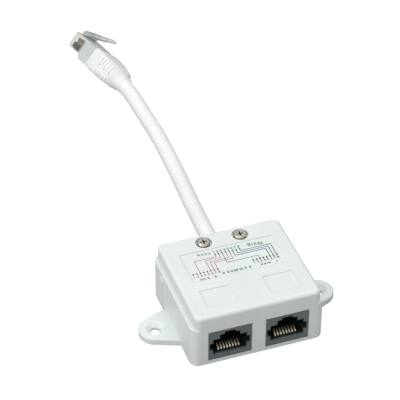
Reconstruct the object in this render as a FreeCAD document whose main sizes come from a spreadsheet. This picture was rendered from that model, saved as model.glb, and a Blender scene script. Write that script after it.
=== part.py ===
import FreeCAD, Part

import math
import os
from types import SimpleNamespace

import Sketcher
from FreeCAD import Placement, Rotation, Vector

# Splitter adapter: a two-part case with two sockets in front, a fixing ear on each side, and a lead
# with a booted plug behind. Millimetres. X runs to the right along the socket face, Y towards the
# lead, Z up. The origin is on the table under the middle of the case.

# Driving sizes: each has a cell of its own in the sheet
SIZES = [
    ("box_width", 46.8, "case, side to side, without the ears"),
    ("box_depth", 40.8, "case, socket face to rear wall"),
    ("rim_height", 15.8, "top of the lower shell's walls"),
    ("cover_height", 5.3, "cover, from the rim to the top face"),
    ("side_wall", 1.8, "side and rear walls of the lower shell"),
    ("front_wall", 1.6, "front walls of both shells"),
    ("floor_thick", 1.9, "floor of the lower shell"),
    ("base_corner", 3.0, "upright corners of the lower shell"),
    ("inner_corner", 1.2, "upright corners inside both shells"),
    ("foot_bevel", 0.5, "bevel round the bottom edge"),
    ("cover_inset", 1.3, "ledge left beside the cover"),
    ("cover_wall", 1.6, "side walls of the cover"),
    ("cover_top", 1.8, "top of the cover"),
    ("cover_corner", 2.2, "upright corners of the cover"),
    ("top_round", 1.3, "rounding of the cover's top edge"),
    ("lip_height", 1.2, "cover lips that drop inside the rim"),
    ("lip_half_length", 14.0, "half the length of a cover lip"),
    ("seat_gap", 0.05, "clearance between moulded pieces that seat on each other"),
    ("ear_centre", 29.5, "ear hole, from the middle of the case"),
    ("ear_round", 5.6, "radius of the ear's tip"),
    ("ear_thick", 2.5, "thickness of an ear"),
    ("ear_taper", 22.0, "angle of the ear's straight sides"),
    ("ear_edge", 0.4, "bevel of the ear's top edge"),
    ("ear_hole", 1.8, "radius of the ear hole"),
    ("ear_sink", 1.5, "width of the countersink's cone"),
    ("socket_pitch", 20.16, "from one socket's middle to the other's"),
    ("socket_width", 15.2, "socket housing, side to side"),
    ("socket_tall", 12.25, "socket housing, bottom to top"),
    ("socket_depth", 15.5, "socket housing, face to back"),
    ("socket_inset", 0.1, "socket face behind the case's front"),
    ("socket_fit", 0.08, "clearance round a socket in the front wall"),
    ("mouth_width", 11.9, "main opening of a socket"),
    ("mouth_floor", 2.05, "floor of the opening above the housing's bottom"),
    ("mouth_tall", 6.6, "main opening, bottom to top"),
    ("mouth_depth", 12.0, "depth of the opening"),
    ("notch_width", 14.2, "opening across the side notches"),
    ("notch_low", 2.0, "side notches above the opening's floor"),
    ("notch_tall", 3.1, "height of the side notches"),
    ("step_width", 7.2, "first step for the latch"),
    ("step_tall", 1.7, "height of the first step"),
    ("latch_width", 3.9, "second step for the latch"),
    ("latch_tall", 0.9, "height of the second step"),
    ("peg_round", 1.5, "radius of a socket's board peg"),
    ("peg_reach", 1.3, "length of a socket's board peg"),
    ("peg_offset", 5.7, "board peg from the socket's middle"),
    ("peg_back", 8.0, "board peg behind the socket's face"),
    ("carrier_width", 12.2, "rear block of the contact carrier"),
    ("carrier_depth", 3.4, "rear block, front to back"),
    ("tongue_width", 8.7, "carrier tongue under the contacts"),
    ("tongue_rise", 0.65, "underside of the carrier above the housing's bottom"),
    ("tongue_thick", 1.05, "tongue, underside to groove floor"),
    ("groove_deep", 0.3, "depth of a contact groove"),
    ("groove_width", 0.55, "width of a contact groove"),
    ("lip_front", 1.2, "front lip of the housing before the tongue"),
    ("contact_pitch", 1.02, "from one contact to the next"),
    ("contact_wide", 0.45, "width of a contact strip"),
    ("contact_thick", 0.3, "thickness of a contact strip"),
    ("contact_gap", 0.02, "clearance of a contact in its groove"),
    ("contact_nose", 2.1, "front bend's middle behind the socket's face"),
    ("contact_bend", 0.6, "radius of the front bend"),
    ("contact_slope", 27.0, "rise of the sprung end"),
    ("contact_reach", 9.8, "sprung end behind the socket's face"),
    ("tail_back", 0.25, "outer tails in front of the carrier's back"),
    ("tail_row", 2.55, "inner tails in front of the outer ones"),
    ("tail_rise", 1.6, "tails above the board"),
    ("board_thick", 1.6, "circuit board"),
    ("board_side_gap", 1.4, "board edge inside the side walls"),
    ("board_front_gap", 0.2, "board edge behind the front wall"),
    ("board_rear_gap", 2.0, "rear edge of the board in front of the lead's end"),
    ("board_hole", 0.36, "half the width of a contact's hole in the board"),
    ("post_round", 1.6, "radius of a board post"),
    ("post_side", 18.6, "board post from the middle"),
    ("post_share", 0.265, "board post before the board's edge, as a share of its overhang"),
    ("post_peg", 0.8, "radius of the peg on a board post"),
    ("post_peg_tall", 1.3, "height of the peg on a board post"),
    ("peg_fit", 0.08, "clearance of pegs in the board"),
    ("stop_tall", 2.2, "rib on the floor behind a socket"),
    ("stop_thick", 1.2, "thickness of that rib"),
    ("press_side", 15.6, "cover rib that holds the board down"),
    ("press_thick", 1.0, "thickness of that rib"),
    ("press_front", 6.3, "front end of that rib behind a socket's face"),
    ("press_long", 10.0, "length of that rib"),
    ("screw_side", 6.6, "cover screw from the middle"),
    ("screw_inset", 4.5, "cover screw in front of the case's rear"),
    ("boss_round", 3.0, "radius of a screw boss"),
    ("boss_hole_spare", 1.1, "hole in a screw boss past the screw's point"),
    ("thread_fit", 0.05, "clearance of the screw in its boss"),
    ("shank_round", 1.25, "radius of the screw's shank"),
    ("shank_long", 10.6, "length of the screw's shank"),
    ("shank_point", 1.2, "length of the screw's point"),
    ("shank_hole_fit", 0.15, "clearance of the screw in the cover"),
    ("head_round", 2.25, "radius of the screw's head"),
    ("head_tall", 1.4, "height of the screw's head"),
    ("head_edge", 0.5, "bevel of the head"),
    ("cross_wide", 0.55, "width of a slot of the cross recess"),
    ("cross_long", 2.5, "length of a slot of the cross recess"),
    ("cross_deep", 0.8, "depth of the cross recess"),
    ("sink_round", 2.85, "radius of the well round a screw's head"),
    ("sink_deep", 1.0, "depth of that well"),
    ("panel_half", 16.8, "half width of the diagram's panel"),
    ("panel_front", 0.436, "front edge of the diagram's panel, as a share of the depth"),
    ("panel_back", 0.797, "rear edge of the diagram's panel, as a share of the depth"),
    ("label_near", 5.8, "inner side of a port label's recess"),
    ("label_far", 16.4, "outer side of a port label's recess"),
    ("label_front", 0.115, "front edge of a port label's recess, as a share of the depth"),
    ("label_back", 0.325, "rear edge of a port label's recess, as a share of the depth"),
    ("recess_deep", 0.3, "depth of the recesses in the top"),
    ("cable_round", 3.0, "radius of the lead"),
    ("cable_height", 11.0, "lead's middle above the table at the case"),
    ("cable_fit", 0.1, "clearance of the lead in the wall, the rib and the boot"),
    ("tab_above", 1.2, "cover tab's tips above the lead's middle"),
    ("lead_inside", 13.4, "lead's end inside the case, from the case's rear"),
    ("cradle_inset", 8.2, "front of the rib that cradles the lead, from the case's rear"),
    ("cradle_thick", 1.6, "thickness of that rib"),
    ("cradle_above", 1.4, "top of that rib above the lead's middle"),
    ("tie_wide", 2.4, "width of the cable tie"),
    ("tie_thick", 0.9, "thickness of the cable tie"),
    ("tie_fit", 0.02, "clearance of the tie on the lead"),
    ("tie_gap", 0.15, "gap from the tie to the rib"),
    ("tie_head", 3.4, "width of the tie's head"),
    ("tie_head_tall", 2.6, "height of the tie's head"),
    ("wire_round", 0.4, "radius of a conductor"),
    ("wire_hole_fit", 0.04, "clearance of a conductor in its hole"),
    ("wire_ring", 1.95, "conductors from the middle of the lead"),
    ("wire_start", 0.3, "straight start of a conductor at the board's end of the lead"),
    ("wire_ready", 1.55, "where that conductor is level under the board"),
    ("wire_straight", 1.3, "straight start of a conductor in the plug"),
    ("wire_pitch", 1.5, "from one conductor's hole to the next"),
    ("wire_share", 0.49, "rows of conductor holes, as a share of the board's overhang"),
    ("wire_spread", 0.122, "each row from their middle, as a share of the board's overhang"),
    ("wire_under", 3.2, "lead's middle under the board as drawn"),
    ("wire_rise", 1.2, "conductors above the board"),
    ("plug_heading", 14.0, "plug turned from the case's axis, towards the left"),
    ("plug_lean", 42.7, "plug's latch side leans right from upright"),
    ("plug_width", 11.7, "plug, side to side"),
    ("plug_half", 3.25, "half the thickness of the plug's nose"),
    ("plug_nose", 0.6, "bevel of the plug's nose"),
    ("step_start", 7.7, "shoulder behind the nose"),
    ("step_run", 1.1, "length of the shoulder's slope"),
    ("shoulder", 4.9, "shoulder's face from the nose's middle"),
    ("plug_front_long", 15.1, "plug in front of the boot"),
    ("plug_long", 21.5, "whole length of the plug"),
    ("neck_width", 11.0, "plug inside the boot, side to side"),
    ("neck_half", 3.6, "half the thickness of the plug inside the boot"),
    ("axis_drop", 0.7, "boot's axis under the nose's middle"),
    ("lever_wide", 6.2, "latch lever at its shoulder"),
    ("lever_slim", 3.2, "latch lever at its tip"),
    ("lever_shoulder", 8.6, "latch shoulder behind the nose"),
    ("lever_long", 14.8, "latch lever's tip behind the nose"),
    ("lever_start", 4.9, "top of the lever at the nose"),
    ("lever_lift", 9.3, "top of the lever at its tip"),
    ("lever_thick", 1.2, "thickness of the lever"),
    ("jacket_in_plug", 4.5, "lead inside the plug"),
    ("lead_at_plug", 7.55, "straight run of the lead's route behind the boot"),
    ("lead_at_case", 8.1, "straight run of the lead's route out of the case"),
    ("cavity_long", 4.6, "space in the plug where the conductors spread"),
    ("cavity_half", 4.4, "half the width of that space"),
    ("row_height", 1.1, "row of conductors above the nose's middle"),
    ("blade_thick", 0.35, "thickness of a contact blade"),
    ("blade_fit", 0.05, "clearance of a blade in its slot"),
    ("blade_front", 0.9, "front edge of a blade behind the nose"),
    ("blade_long", 3.2, "length of a blade"),
    ("blade_sunk", 0.1, "blade's edge below the plug's face"),
    ("crimp_half", 4.0, "half the width of the crimp window"),
    ("crimp_long", 2.6, "length of the crimp window"),
    ("crimp_deep", 1.2, "depth of the crimp window"),
    ("boot_past", 10.75, "boot's rear face behind the plug's end"),
    ("boot_half_width", 6.6, "half the width of the boot"),
    ("boot_half_thick", 4.7, "half the thickness of the boot"),
    ("boot_bevel", 1.3, "bevel of the boot's rear edge"),
    ("collar_round", 3.9, "radius of the boot's collar round the lead"),
    ("collar_long", 1.25, "collar behind the boot's rear face"),
    ("boot_corner", 2.0, "corners of the boot"),
    ("boot_bore_seat", 0.1, "gap behind the plug inside the boot"),
    ("rib_count", 5, "grip ribs in a row"),
    ("rib_pitch", 1.9, "from one grip rib to the next"),
    ("rib_wide", 0.8, "width of a grip rib"),
    ("rib_proud", 0.4, "height of a grip rib"),
    ("rib_first", 5.6, "first grip rib behind the boot's rim"),
]

# Points of the lead's middle between the straight run out of the case and the one into the plug
LEAD_ON_TABLE = [
    (2.4, 53.0, 6.5),
    (4.9, 77.5, 3.05),
    (5.5, 102.5, 3.05),
]
PLUG_NOSE = (-5.356, 166.186, 7.715)
ARC_SHARE = 0.45
STRAIGHT = 0.02

CONTACTS = 8
SIDES = {"left": -1, "right": 1}


class Bound:
    """A number and the sheet expression that it comes from."""

    def __init__(self, number, text):
        self.number = number
        self.text = text

    def __float__(self):
        return float(self.number)

    def __neg__(self):
        return Bound(-self.number, f"(-1 * {self.text})")

    def __add__(self, other):
        return joined(self, "+", other)

    def __radd__(self, other):
        return joined(other, "+", self)

    def __sub__(self, other):
        return joined(self, "-", other)

    def __rsub__(self, other):
        return joined(other, "-", self)

    def __mul__(self, other):
        return joined(self, "*", other)

    def __rmul__(self, other):
        return joined(other, "*", self)

    def __truediv__(self, other):
        return joined(self, "/", other)


def bound(value):
    return value if isinstance(value, Bound) else Bound(value, repr(value))


def joined(first, sign, second):
    a, b = bound(first), bound(second)
    number = {
        "+": a.number + b.number,
        "-": a.number - b.number,
        "*": a.number * b.number,
        "/": a.number / b.number if b.number else 0.0,
    }[sign]
    return Bound(number, f"({a.text} {sign} {b.text})")


def sine(angle):
    return Bound(math.sin(math.radians(angle.number)), f"sin({angle.text})")


def cosine(angle):
    return Bound(math.cos(math.radians(angle.number)), f"cos({angle.text})")


# Document and sheet
doc = FreeCAD.newDocument("splitter")
sheet = doc.addObject("Spreadsheet::Sheet", "Sizes")
for row, (alias, number, meaning) in enumerate(SIZES, 1):
    sheet.set(f"A{row}", meaning)
    sheet.set(f"B{row}", str(number))
    sheet.setAlias(f"B{row}", alias)
doc.recompute()
S = SimpleNamespace(**{alias: Bound(number, f"Sizes.{alias}") for alias, number, _ in SIZES})
pieces = []


# Places that several pieces share
front_y = -S.box_depth / 2
rear_y = S.box_depth / 2
top_z = S.rim_height + S.cover_height
cover_under = top_z - S.cover_top
face_y = front_y + S.socket_inset
socket_low = S.floor_thick + S.seat_gap
socket_top = socket_low + S.socket_tall
socket_rear = face_y + S.socket_depth
mouth_low = socket_low + S.mouth_floor
board_low = socket_top
board_top = board_low + S.board_thick
tongue_low = socket_low + S.tongue_rise
groove_floor = tongue_low + S.tongue_thick
run_z = groove_floor + S.contact_gap + S.contact_thick / 2
tail_outer = socket_rear - S.tail_back
tail_inner = tail_outer - S.tail_row
tail_top = board_top + S.tail_rise
cable_hole = S.cable_round + S.cable_fit
head_seat = top_z - S.sink_deep
screw_back = rear_y - S.screw_inset
cradle_front = rear_y - S.cradle_inset
lead_start = rear_y - S.lead_inside
board_back = lead_start - S.board_rear_gap
overhang = board_back - socket_rear
post_back = board_back - S.post_share * overhang


def contact_offset(number):
    """Place of a contact across the socket or plug, from its middle: the first is at the right."""
    return ((CONTACTS - 1) / 2 - number) * S.contact_pitch


def socket_middle(side):
    return SIDES[side] * S.socket_pitch / 2


# Sketches
def new_body(name):
    body = doc.addObject("PartDesign::Body", name)
    body.Label = name
    pieces.append(body)
    return body


def new_sketch(body, name, role, offset=0):
    sketch = body.newObject("Sketcher::SketchObject", f"{body.Name}_{name}")
    plane = next(f for f in body.Origin.OriginFeatures if f.Role == role)
    sketch.AttachmentSupport = [(plane, "")]
    sketch.MapMode = "FlatFace"
    if isinstance(offset, Bound):
        sketch.AttachmentOffset = Placement(Vector(0, 0, offset.number), Rotation())
        sketch.setExpression("AttachmentOffset.Base.z", offset.text)
    return sketch


def bind(sketch, kind, *where, value):
    """Add a dimension and tie it to the sheet."""
    index = sketch.addConstraint(Sketcher.Constraint(kind, *where, float(value)))
    if isinstance(value, Bound):
        sketch.setExpression(f"Constraints[{index}]", value.text)


def bind_point(sketch, geometry, point, x, y):
    for kind, value in (("DistanceX", x), ("DistanceY", y)):
        bind(sketch, kind, -1, 1, geometry, point, value=value)


def add_polygon(sketch, corners):
    first = sketch.GeometryCount
    places = [Vector(float(x), float(y), 0) for x, y in corners]
    count = len(places)
    for i in range(count):
        sketch.addGeometry(Part.LineSegment(places[i], places[(i + 1) % count]))
    for i in range(count):
        after = first + (i + 1) % count
        sketch.addConstraint(Sketcher.Constraint("Coincident", first + i, 2, after, 1))
        bind_point(sketch, first + i, 1, *corners[i])


def add_rectangle(sketch, x_low, y_low, x_high, y_high):
    add_polygon(sketch, [(x_low, y_low), (x_high, y_low), (x_high, y_high), (x_low, y_high)])


def add_circle(sketch, x, y, radius):
    place = Vector(float(x), float(y), 0)
    index = sketch.addGeometry(Part.Circle(place, Vector(0, 0, 1), float(radius)))
    bind_point(sketch, index, 3, x, y)
    bind(sketch, "Radius", index, value=radius)


def add_octagon(sketch, x, y, radius):
    """Regular octagon inside a circle, for the conductors and the holes they pass."""
    diagonal = radius * math.sqrt(0.5)
    near, far = diagonal, radius
    ring = [(far, 0), (near, near), (0, far), (-near, near)]
    ring += [(-a, -b) for a, b in ring]
    add_polygon(sketch, [(x + a, y + b) for a, b in ring])


def add_rounded(sketch, half_x, middle_y, half_y, corner):
    """Rectangle about x = 0 with round corners."""
    arcs = []
    for turn, (sx, sy) in enumerate(((1, 1), (-1, 1), (-1, -1), (1, -1))):
        x = sx * (half_x - corner)
        y = middle_y + sy * (half_y - corner)
        circle = Part.Circle(Vector(float(x), float(y), 0), Vector(0, 0, 1), float(corner))
        start = turn * math.pi / 2
        arcs.append((x, y, Part.ArcOfCircle(circle, start, start + math.pi / 2)))
    for turn, (x, y, arc) in enumerate(arcs):
        after = arcs[(turn + 1) % 4][2]
        sketch.addGeometry(arc)
        sketch.addGeometry(Part.LineSegment(arc.EndPoint, after.StartPoint))
    for turn, (x, y, arc) in enumerate(arcs):
        this, line, after = 2 * turn, 2 * turn + 1, (2 * turn + 2) % 8
        bind_point(sketch, this, 3, x, y)
        bind(sketch, "Radius", this, value=corner)
        sketch.addConstraint(Sketcher.Constraint("Tangent", this, 2, line, 1))
        sketch.addConstraint(Sketcher.Constraint("Tangent", line, 2, after, 1))


# Features
def extrude(body, kind, sketch, length, reverse=False, both=False):
    before = body.Shape.Volume if body.Tip and body.Tip != sketch else 0.0
    feature = body.newObject(f"PartDesign::{kind}", f"{sketch.Name}_{kind.lower()}")
    feature.Profile = sketch
    feature.Length = float(length)
    feature.setExpression("Length", bound(length).text)
    feature.Reversed = reverse
    if both:
        feature.SideType = "Symmetric"
    doc.recompute()
    change = body.Shape.Volume - before
    if (change <= 0) if kind == "Pad" else (change >= 0):
        raise RuntimeError(f"{feature.Name} changed nothing")
    return feature


def pad(body, sketch, length, **options):
    return extrude(body, "Pad", sketch, length, **options)


def pocket(body, sketch, depth, **options):
    return extrude(body, "Pocket", sketch, depth, **options)


def dress(body, kind, size, test):
    """Fillet or chamfer the edges that pass the test."""
    base = body.Tip
    names = [f"Edge{i}" for i, edge in enumerate(base.Shape.Edges, 1) if test(edge)]
    if not names:
        raise RuntimeError(f"{body.Label} has no edge to dress")
    feature = body.newObject(f"PartDesign::{kind}", f"{base.Name}_{kind.lower()}")
    feature.Base = (base, names)
    feature.setExpression("Radius" if kind == "Fillet" else "Size", size.text)
    doc.recompute()
    return feature


def is_upright(edge):
    box = edge.BoundBox
    return box.XLength < 1e-4 and box.YLength < 1e-4


def is_level(edge, z):
    box = edge.BoundBox
    return abs(box.ZMin - float(z)) < 1e-4 and abs(box.ZMax - float(z)) < 1e-4


def is_round(edge, radius):
    return isinstance(edge.Curve, Part.Circle) and abs(edge.Curve.Radius - float(radius)) < 1e-4


# Lower shell
def make_base_shell():
    body = new_body("base_shell")
    half_x = S.box_width / 2
    inner_x = half_x - S.side_wall

    outline = new_sketch(body, "outline", "XY_Plane")
    add_rectangle(outline, -half_x, front_y, half_x, rear_y)
    pad(body, outline, S.rim_height)
    dress(body, "Fillet", S.base_corner, is_upright)
    dress(body, "Chamfer", S.foot_bevel, lambda edge: is_level(edge, 0))

    room = new_sketch(body, "room", "XY_Plane", S.floor_thick)
    add_rectangle(room, -inner_x, front_y + S.front_wall, inner_x, rear_y - S.side_wall)
    pocket(body, room, S.rim_height, reverse=True)
    dress(
        body,
        "Fillet",
        S.inner_corner,
        lambda edge: is_upright(edge) and abs(abs(edge.BoundBox.XMin) - float(inner_x)) < 1e-4,
    )

    # Ears: a tapered web, then a round tip
    web_x = S.ear_centre + S.ear_round * sine(S.ear_taper)
    web_y = S.ear_round * cosine(S.ear_taper)
    root_x = half_x - S.side_wall / 2
    root_y = web_y + (web_x - root_x) * sine(S.ear_taper) / cosine(S.ear_taper)
    web = new_sketch(body, "ear_web", "XY_Plane")
    tip = new_sketch(body, "ear_tip", "XY_Plane")
    hole = new_sketch(body, "ear_hole", "XY_Plane")
    for sign in SIDES.values():
        corners = [(root_x, -root_y), (web_x, -web_y), (web_x, web_y), (root_x, root_y)]
        add_polygon(web, [(sign * x, y) for x, y in corners])
        add_circle(tip, sign * S.ear_centre, 0, S.ear_round)
        add_circle(hole, sign * S.ear_centre, 0, S.ear_hole)
    pad(body, web, S.ear_thick)
    pad(body, tip, S.ear_thick)
    dress(
        body,
        "Chamfer",
        S.ear_edge,
        lambda edge: is_level(edge, S.ear_thick) and edge.BoundBox.Center.Length > float(half_x) + 1,
    )
    pocket(body, hole, S.ear_thick, reverse=True)
    dress(
        body,
        "Chamfer",
        S.ear_sink,
        lambda edge: is_level(edge, S.ear_thick) and is_round(edge, S.ear_hole),
    )

    # Openings in the front wall, open to the rim
    windows = new_sketch(body, "windows", "XZ_Plane", -(front_y + S.front_wall))
    for side in SIDES:
        half = S.socket_width / 2 + S.socket_fit
        middle = socket_middle(side)
        add_rectangle(windows, middle - half, S.floor_thick, middle + half, S.rim_height + 1)
    pocket(body, windows, S.front_wall + 1, reverse=True)

    # Screw bosses, board posts with pegs, and stops behind the sockets
    boss = new_sketch(body, "boss", "XY_Plane", S.floor_thick)
    posts = new_sketch(body, "posts", "XY_Plane", S.floor_thick)
    pegs = new_sketch(body, "pegs", "XY_Plane", board_low)
    stops = new_sketch(body, "stops", "XY_Plane", S.floor_thick)
    holes = new_sketch(body, "boss_holes", "XY_Plane", S.rim_height)
    stop_y = socket_rear + S.seat_gap
    for side, sign in SIDES.items():
        add_circle(boss, sign * S.screw_side, screw_back, S.boss_round)
        add_circle(holes, sign * S.screw_side, screw_back, S.shank_round + S.thread_fit)
        add_circle(posts, sign * S.post_side, post_back, S.post_round)
        add_circle(pegs, sign * S.post_side, post_back, S.post_peg)
        middle = socket_middle(side)
        half = S.carrier_width / 2
        add_rectangle(stops, middle - half, stop_y, middle + half, stop_y + S.stop_thick)
    pad(body, boss, S.rim_height - S.floor_thick)
    pad(body, posts, board_low - S.floor_thick)
    pad(body, pegs, S.post_peg_tall)
    pad(body, stops, S.stop_tall)

    # Rib that cradles the lead, then the notch through the rib and the rear wall
    cradle = new_sketch(body, "cradle", "XZ_Plane", -cradle_front)
    add_rectangle(cradle, -S.screw_side, S.floor_thick, S.screw_side, S.cable_height + S.cradle_above)
    pad(body, cradle, S.cradle_thick, reverse=True)
    notch_long = rear_y - cradle_front + 1
    slot = new_sketch(body, "slot", "XZ_Plane", -cradle_front)
    add_rectangle(slot, -cable_hole, S.cable_height, cable_hole, S.rim_height + 1)
    pocket(body, slot, notch_long)
    seat = new_sketch(body, "seat", "XZ_Plane", -cradle_front)
    add_circle(seat, 0, S.cable_height, cable_hole)
    pocket(body, seat, notch_long)
    pocket(body, holes, S.shank_long - head_seat + S.rim_height + S.boss_hole_spare)


# Cover
def make_top_cover():
    body = new_body("top_cover")
    outer_x = S.box_width / 2 - S.cover_inset
    inner_x = outer_x - S.cover_wall

    outline = new_sketch(body, "outline", "XY_Plane", S.rim_height)
    add_rectangle(outline, -outer_x, front_y, outer_x, rear_y)
    pad(body, outline, S.cover_height)
    dress(body, "Fillet", S.cover_corner, is_upright)
    dress(body, "Fillet", S.top_round, lambda edge: is_level(edge, top_z))

    room = new_sketch(body, "room", "XY_Plane", S.rim_height)
    add_rectangle(room, -inner_x, front_y + S.front_wall, inner_x, rear_y - S.side_wall)
    pocket(body, room, S.cover_height - S.cover_top, reverse=True)

    # Lips inside the rim, tongues over the sockets and a tab over the lead
    lips = new_sketch(body, "lips", "XY_Plane", S.rim_height)
    tongues = new_sketch(body, "tongues", "XY_Plane", S.rim_height)
    lip_x = S.box_width / 2 - S.side_wall - S.seat_gap
    half = S.socket_width / 2 + S.socket_fit - S.seat_gap
    for side, sign in SIDES.items():
        low, high = sorted((sign * inner_x, sign * lip_x), key=float)
        add_rectangle(lips, low, -S.lip_half_length, high, S.lip_half_length)
        middle = socket_middle(side)
        add_rectangle(tongues, middle - half, front_y, middle + half, front_y + S.front_wall)
    pad(body, lips, S.lip_height, reverse=True)
    pad(body, tongues, S.rim_height - socket_top - S.socket_fit, reverse=True)
    tab = new_sketch(body, "tab", "XZ_Plane", -(rear_y - S.side_wall))
    tab_half = cable_hole - S.seat_gap
    add_rectangle(tab, -tab_half, S.cable_height + S.tab_above, tab_half, S.rim_height)
    pad(body, tab, S.side_wall, reverse=True)
    arch = new_sketch(body, "arch", "XZ_Plane", -(rear_y - S.side_wall - 1))
    add_circle(arch, 0, S.cable_height, cable_hole)
    pocket(body, arch, S.side_wall + 2)

    # Screw posts and ribs that hold the board down
    posts = new_sketch(body, "posts", "XY_Plane", S.rim_height)
    press_low = board_top + S.seat_gap
    press = new_sketch(body, "press", "XY_Plane", press_low)
    wells = new_sketch(body, "wells", "XY_Plane", top_z)
    holes = new_sketch(body, "holes", "XY_Plane", top_z)
    for sign in SIDES.values():
        add_circle(posts, sign * S.screw_side, screw_back, S.boss_round)
        add_circle(wells, sign * S.screw_side, screw_back, S.sink_round)
        add_circle(holes, sign * S.screw_side, screw_back, S.shank_round + S.shank_hole_fit)
        near, far = sorted((sign * S.press_side, sign * (S.press_side + S.press_thick)), key=float)
        press_y = face_y + S.press_front
        add_rectangle(press, near, press_y, far, press_y + S.press_long)
    pad(body, posts, cover_under - S.rim_height)
    pad(body, press, cover_under - press_low)
    pocket(body, wells, S.sink_deep)
    pocket(body, holes, S.cover_height)

    # Shallow recesses for the diagram and the port labels
    recess = new_sketch(body, "recess", "XY_Plane", top_z)
    levels = (S.panel_front, S.panel_back, S.label_front, S.label_back)
    panel_low, panel_high, label_low, label_high = (front_y + S.box_depth * v for v in levels)
    add_rectangle(recess, -S.panel_half, panel_low, S.panel_half, panel_high)
    for sign in SIDES.values():
        near, far = sorted((sign * S.label_near, sign * S.label_far), key=float)
        add_rectangle(recess, near, label_low, far, label_high)
    pocket(body, recess, S.recess_deep)


# Cover screws
def make_screw(side):
    body = new_body(f"cover_screw_{side}")
    outline = new_sketch(body, "outline", "XZ_Plane")
    point = S.shank_round / 3
    add_polygon(
        outline,
        [
            (0, -S.shank_long),
            (point, -S.shank_long),
            (S.shank_round, S.shank_point - S.shank_long),
            (S.shank_round, 0),
            (S.head_round, 0),
            (S.head_round, S.head_tall),
            (0, S.head_tall),
        ],
    )
    turned = body.newObject("PartDesign::Revolution", f"{body.Name}_turned")
    turned.Profile = outline
    turned.ReferenceAxis = (outline, ["V_Axis"])
    turned.Angle = 360.0
    doc.recompute()
    dress(body, "Chamfer", S.head_edge, lambda edge: is_level(edge, S.head_tall))
    half, arm = S.cross_wide / 2, S.cross_long / 2
    for name, x, y in (("slot_x", arm, half), ("slot_y", half, arm)):
        slot = new_sketch(body, name, "XY_Plane", S.head_tall)
        add_rectangle(slot, -x, -y, x, y)
        pocket(body, slot, S.cross_deep)
    body.setExpression("Placement.Base.x", (SIDES[side] * S.screw_side).text)
    body.setExpression("Placement.Base.y", screw_back.text)
    body.setExpression("Placement.Base.z", head_seat.text)


# Circuit board
def wire_hole(number):
    """Place of a conductor's hole in the board: the rows alternate."""
    x = (number - (CONTACTS - 1) / 2) * S.wire_pitch
    middle, spread = socket_rear + S.wire_share * overhang, S.wire_spread * overhang
    return x, middle - spread if number in (0, 2, 5, 7) else middle + spread


def make_board():
    body = new_body("circuit_board")
    edge_x = S.box_width / 2 - S.side_wall - S.board_side_gap
    edge_y = front_y + S.front_wall + S.board_front_gap
    outline = new_sketch(body, "outline", "XY_Plane", board_low)
    add_rectangle(outline, -edge_x, edge_y, edge_x, board_back)
    pad(body, outline, S.board_thick)
    holes = new_sketch(body, "holes", "XY_Plane", board_low)
    for side, sign in SIDES.items():
        middle = socket_middle(side)
        for number in range(CONTACTS):
            tail = tail_inner if number % 2 else tail_outer
            x, half = middle + contact_offset(number), S.board_hole
            add_rectangle(holes, x - half, tail - half, x + half, tail + half)
        for peg in (-1, 1):
            place = face_y + S.peg_back
            add_circle(holes, middle + peg * S.peg_offset, place, S.peg_round + S.peg_fit)
        add_circle(holes, sign * S.post_side, post_back, S.post_peg + S.peg_fit)
    for number in range(CONTACTS):
        add_octagon(holes, *wire_hole(number), S.wire_round + S.wire_hole_fit)
    pocket(body, holes, S.board_thick, reverse=True)


# Socket housing
def make_socket(side):
    body = new_body(f"socket_housing_{side}")
    half = S.socket_width / 2
    block = new_sketch(body, "block", "XY_Plane", socket_low)
    add_rectangle(block, -half, face_y, half, socket_rear)
    pad(body, block, S.socket_tall)

    # Stepped mouth: main opening, side notches and two steps for the latch
    levels = [
        (S.mouth_width, mouth_low),
        (S.mouth_width, mouth_low + S.notch_low),
        (S.notch_width, mouth_low + S.notch_low),
        (S.notch_width, mouth_low + S.notch_low + S.notch_tall),
        (S.mouth_width, mouth_low + S.notch_low + S.notch_tall),
        (S.mouth_width, mouth_low + S.mouth_tall),
        (S.step_width, mouth_low + S.mouth_tall),
        (S.step_width, mouth_low + S.mouth_tall + S.step_tall),
        (S.latch_width, mouth_low + S.mouth_tall + S.step_tall),
        (S.latch_width, mouth_low + S.mouth_tall + S.step_tall + S.latch_tall),
    ]
    right = [(width / 2, z) for width, z in levels]
    left = [(-width / 2, z) for width, z in reversed(levels)]
    mouth = new_sketch(body, "mouth", "XZ_Plane", -face_y)
    add_polygon(mouth, right + left)
    pocket(body, mouth, S.mouth_depth)

    # Channel for the carrier's tongue, and an open-topped pocket for its rear block
    fit = S.seat_gap
    channel = new_sketch(body, "channel", "XZ_Plane", -socket_rear)
    tongue = S.tongue_width / 2 + fit
    add_rectangle(channel, -tongue, tongue_low - fit, tongue, mouth_low + fit)
    pocket(body, channel, S.socket_depth - S.lip_front, reverse=True)
    rear = new_sketch(body, "rear", "XZ_Plane", -socket_rear)
    block_half = S.carrier_width / 2 + fit
    add_rectangle(rear, -block_half, tongue_low - fit, block_half, socket_top + 1)
    pocket(body, rear, S.carrier_depth + 2 * fit, reverse=True)

    pegs = new_sketch(body, "pegs", "XY_Plane", socket_top)
    for peg in (-1, 1):
        add_circle(pegs, peg * S.peg_offset, face_y + S.peg_back, S.peg_round)
    pad(body, pegs, S.peg_reach)
    body.setExpression("Placement.Base.x", socket_middle(side).text)


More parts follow.
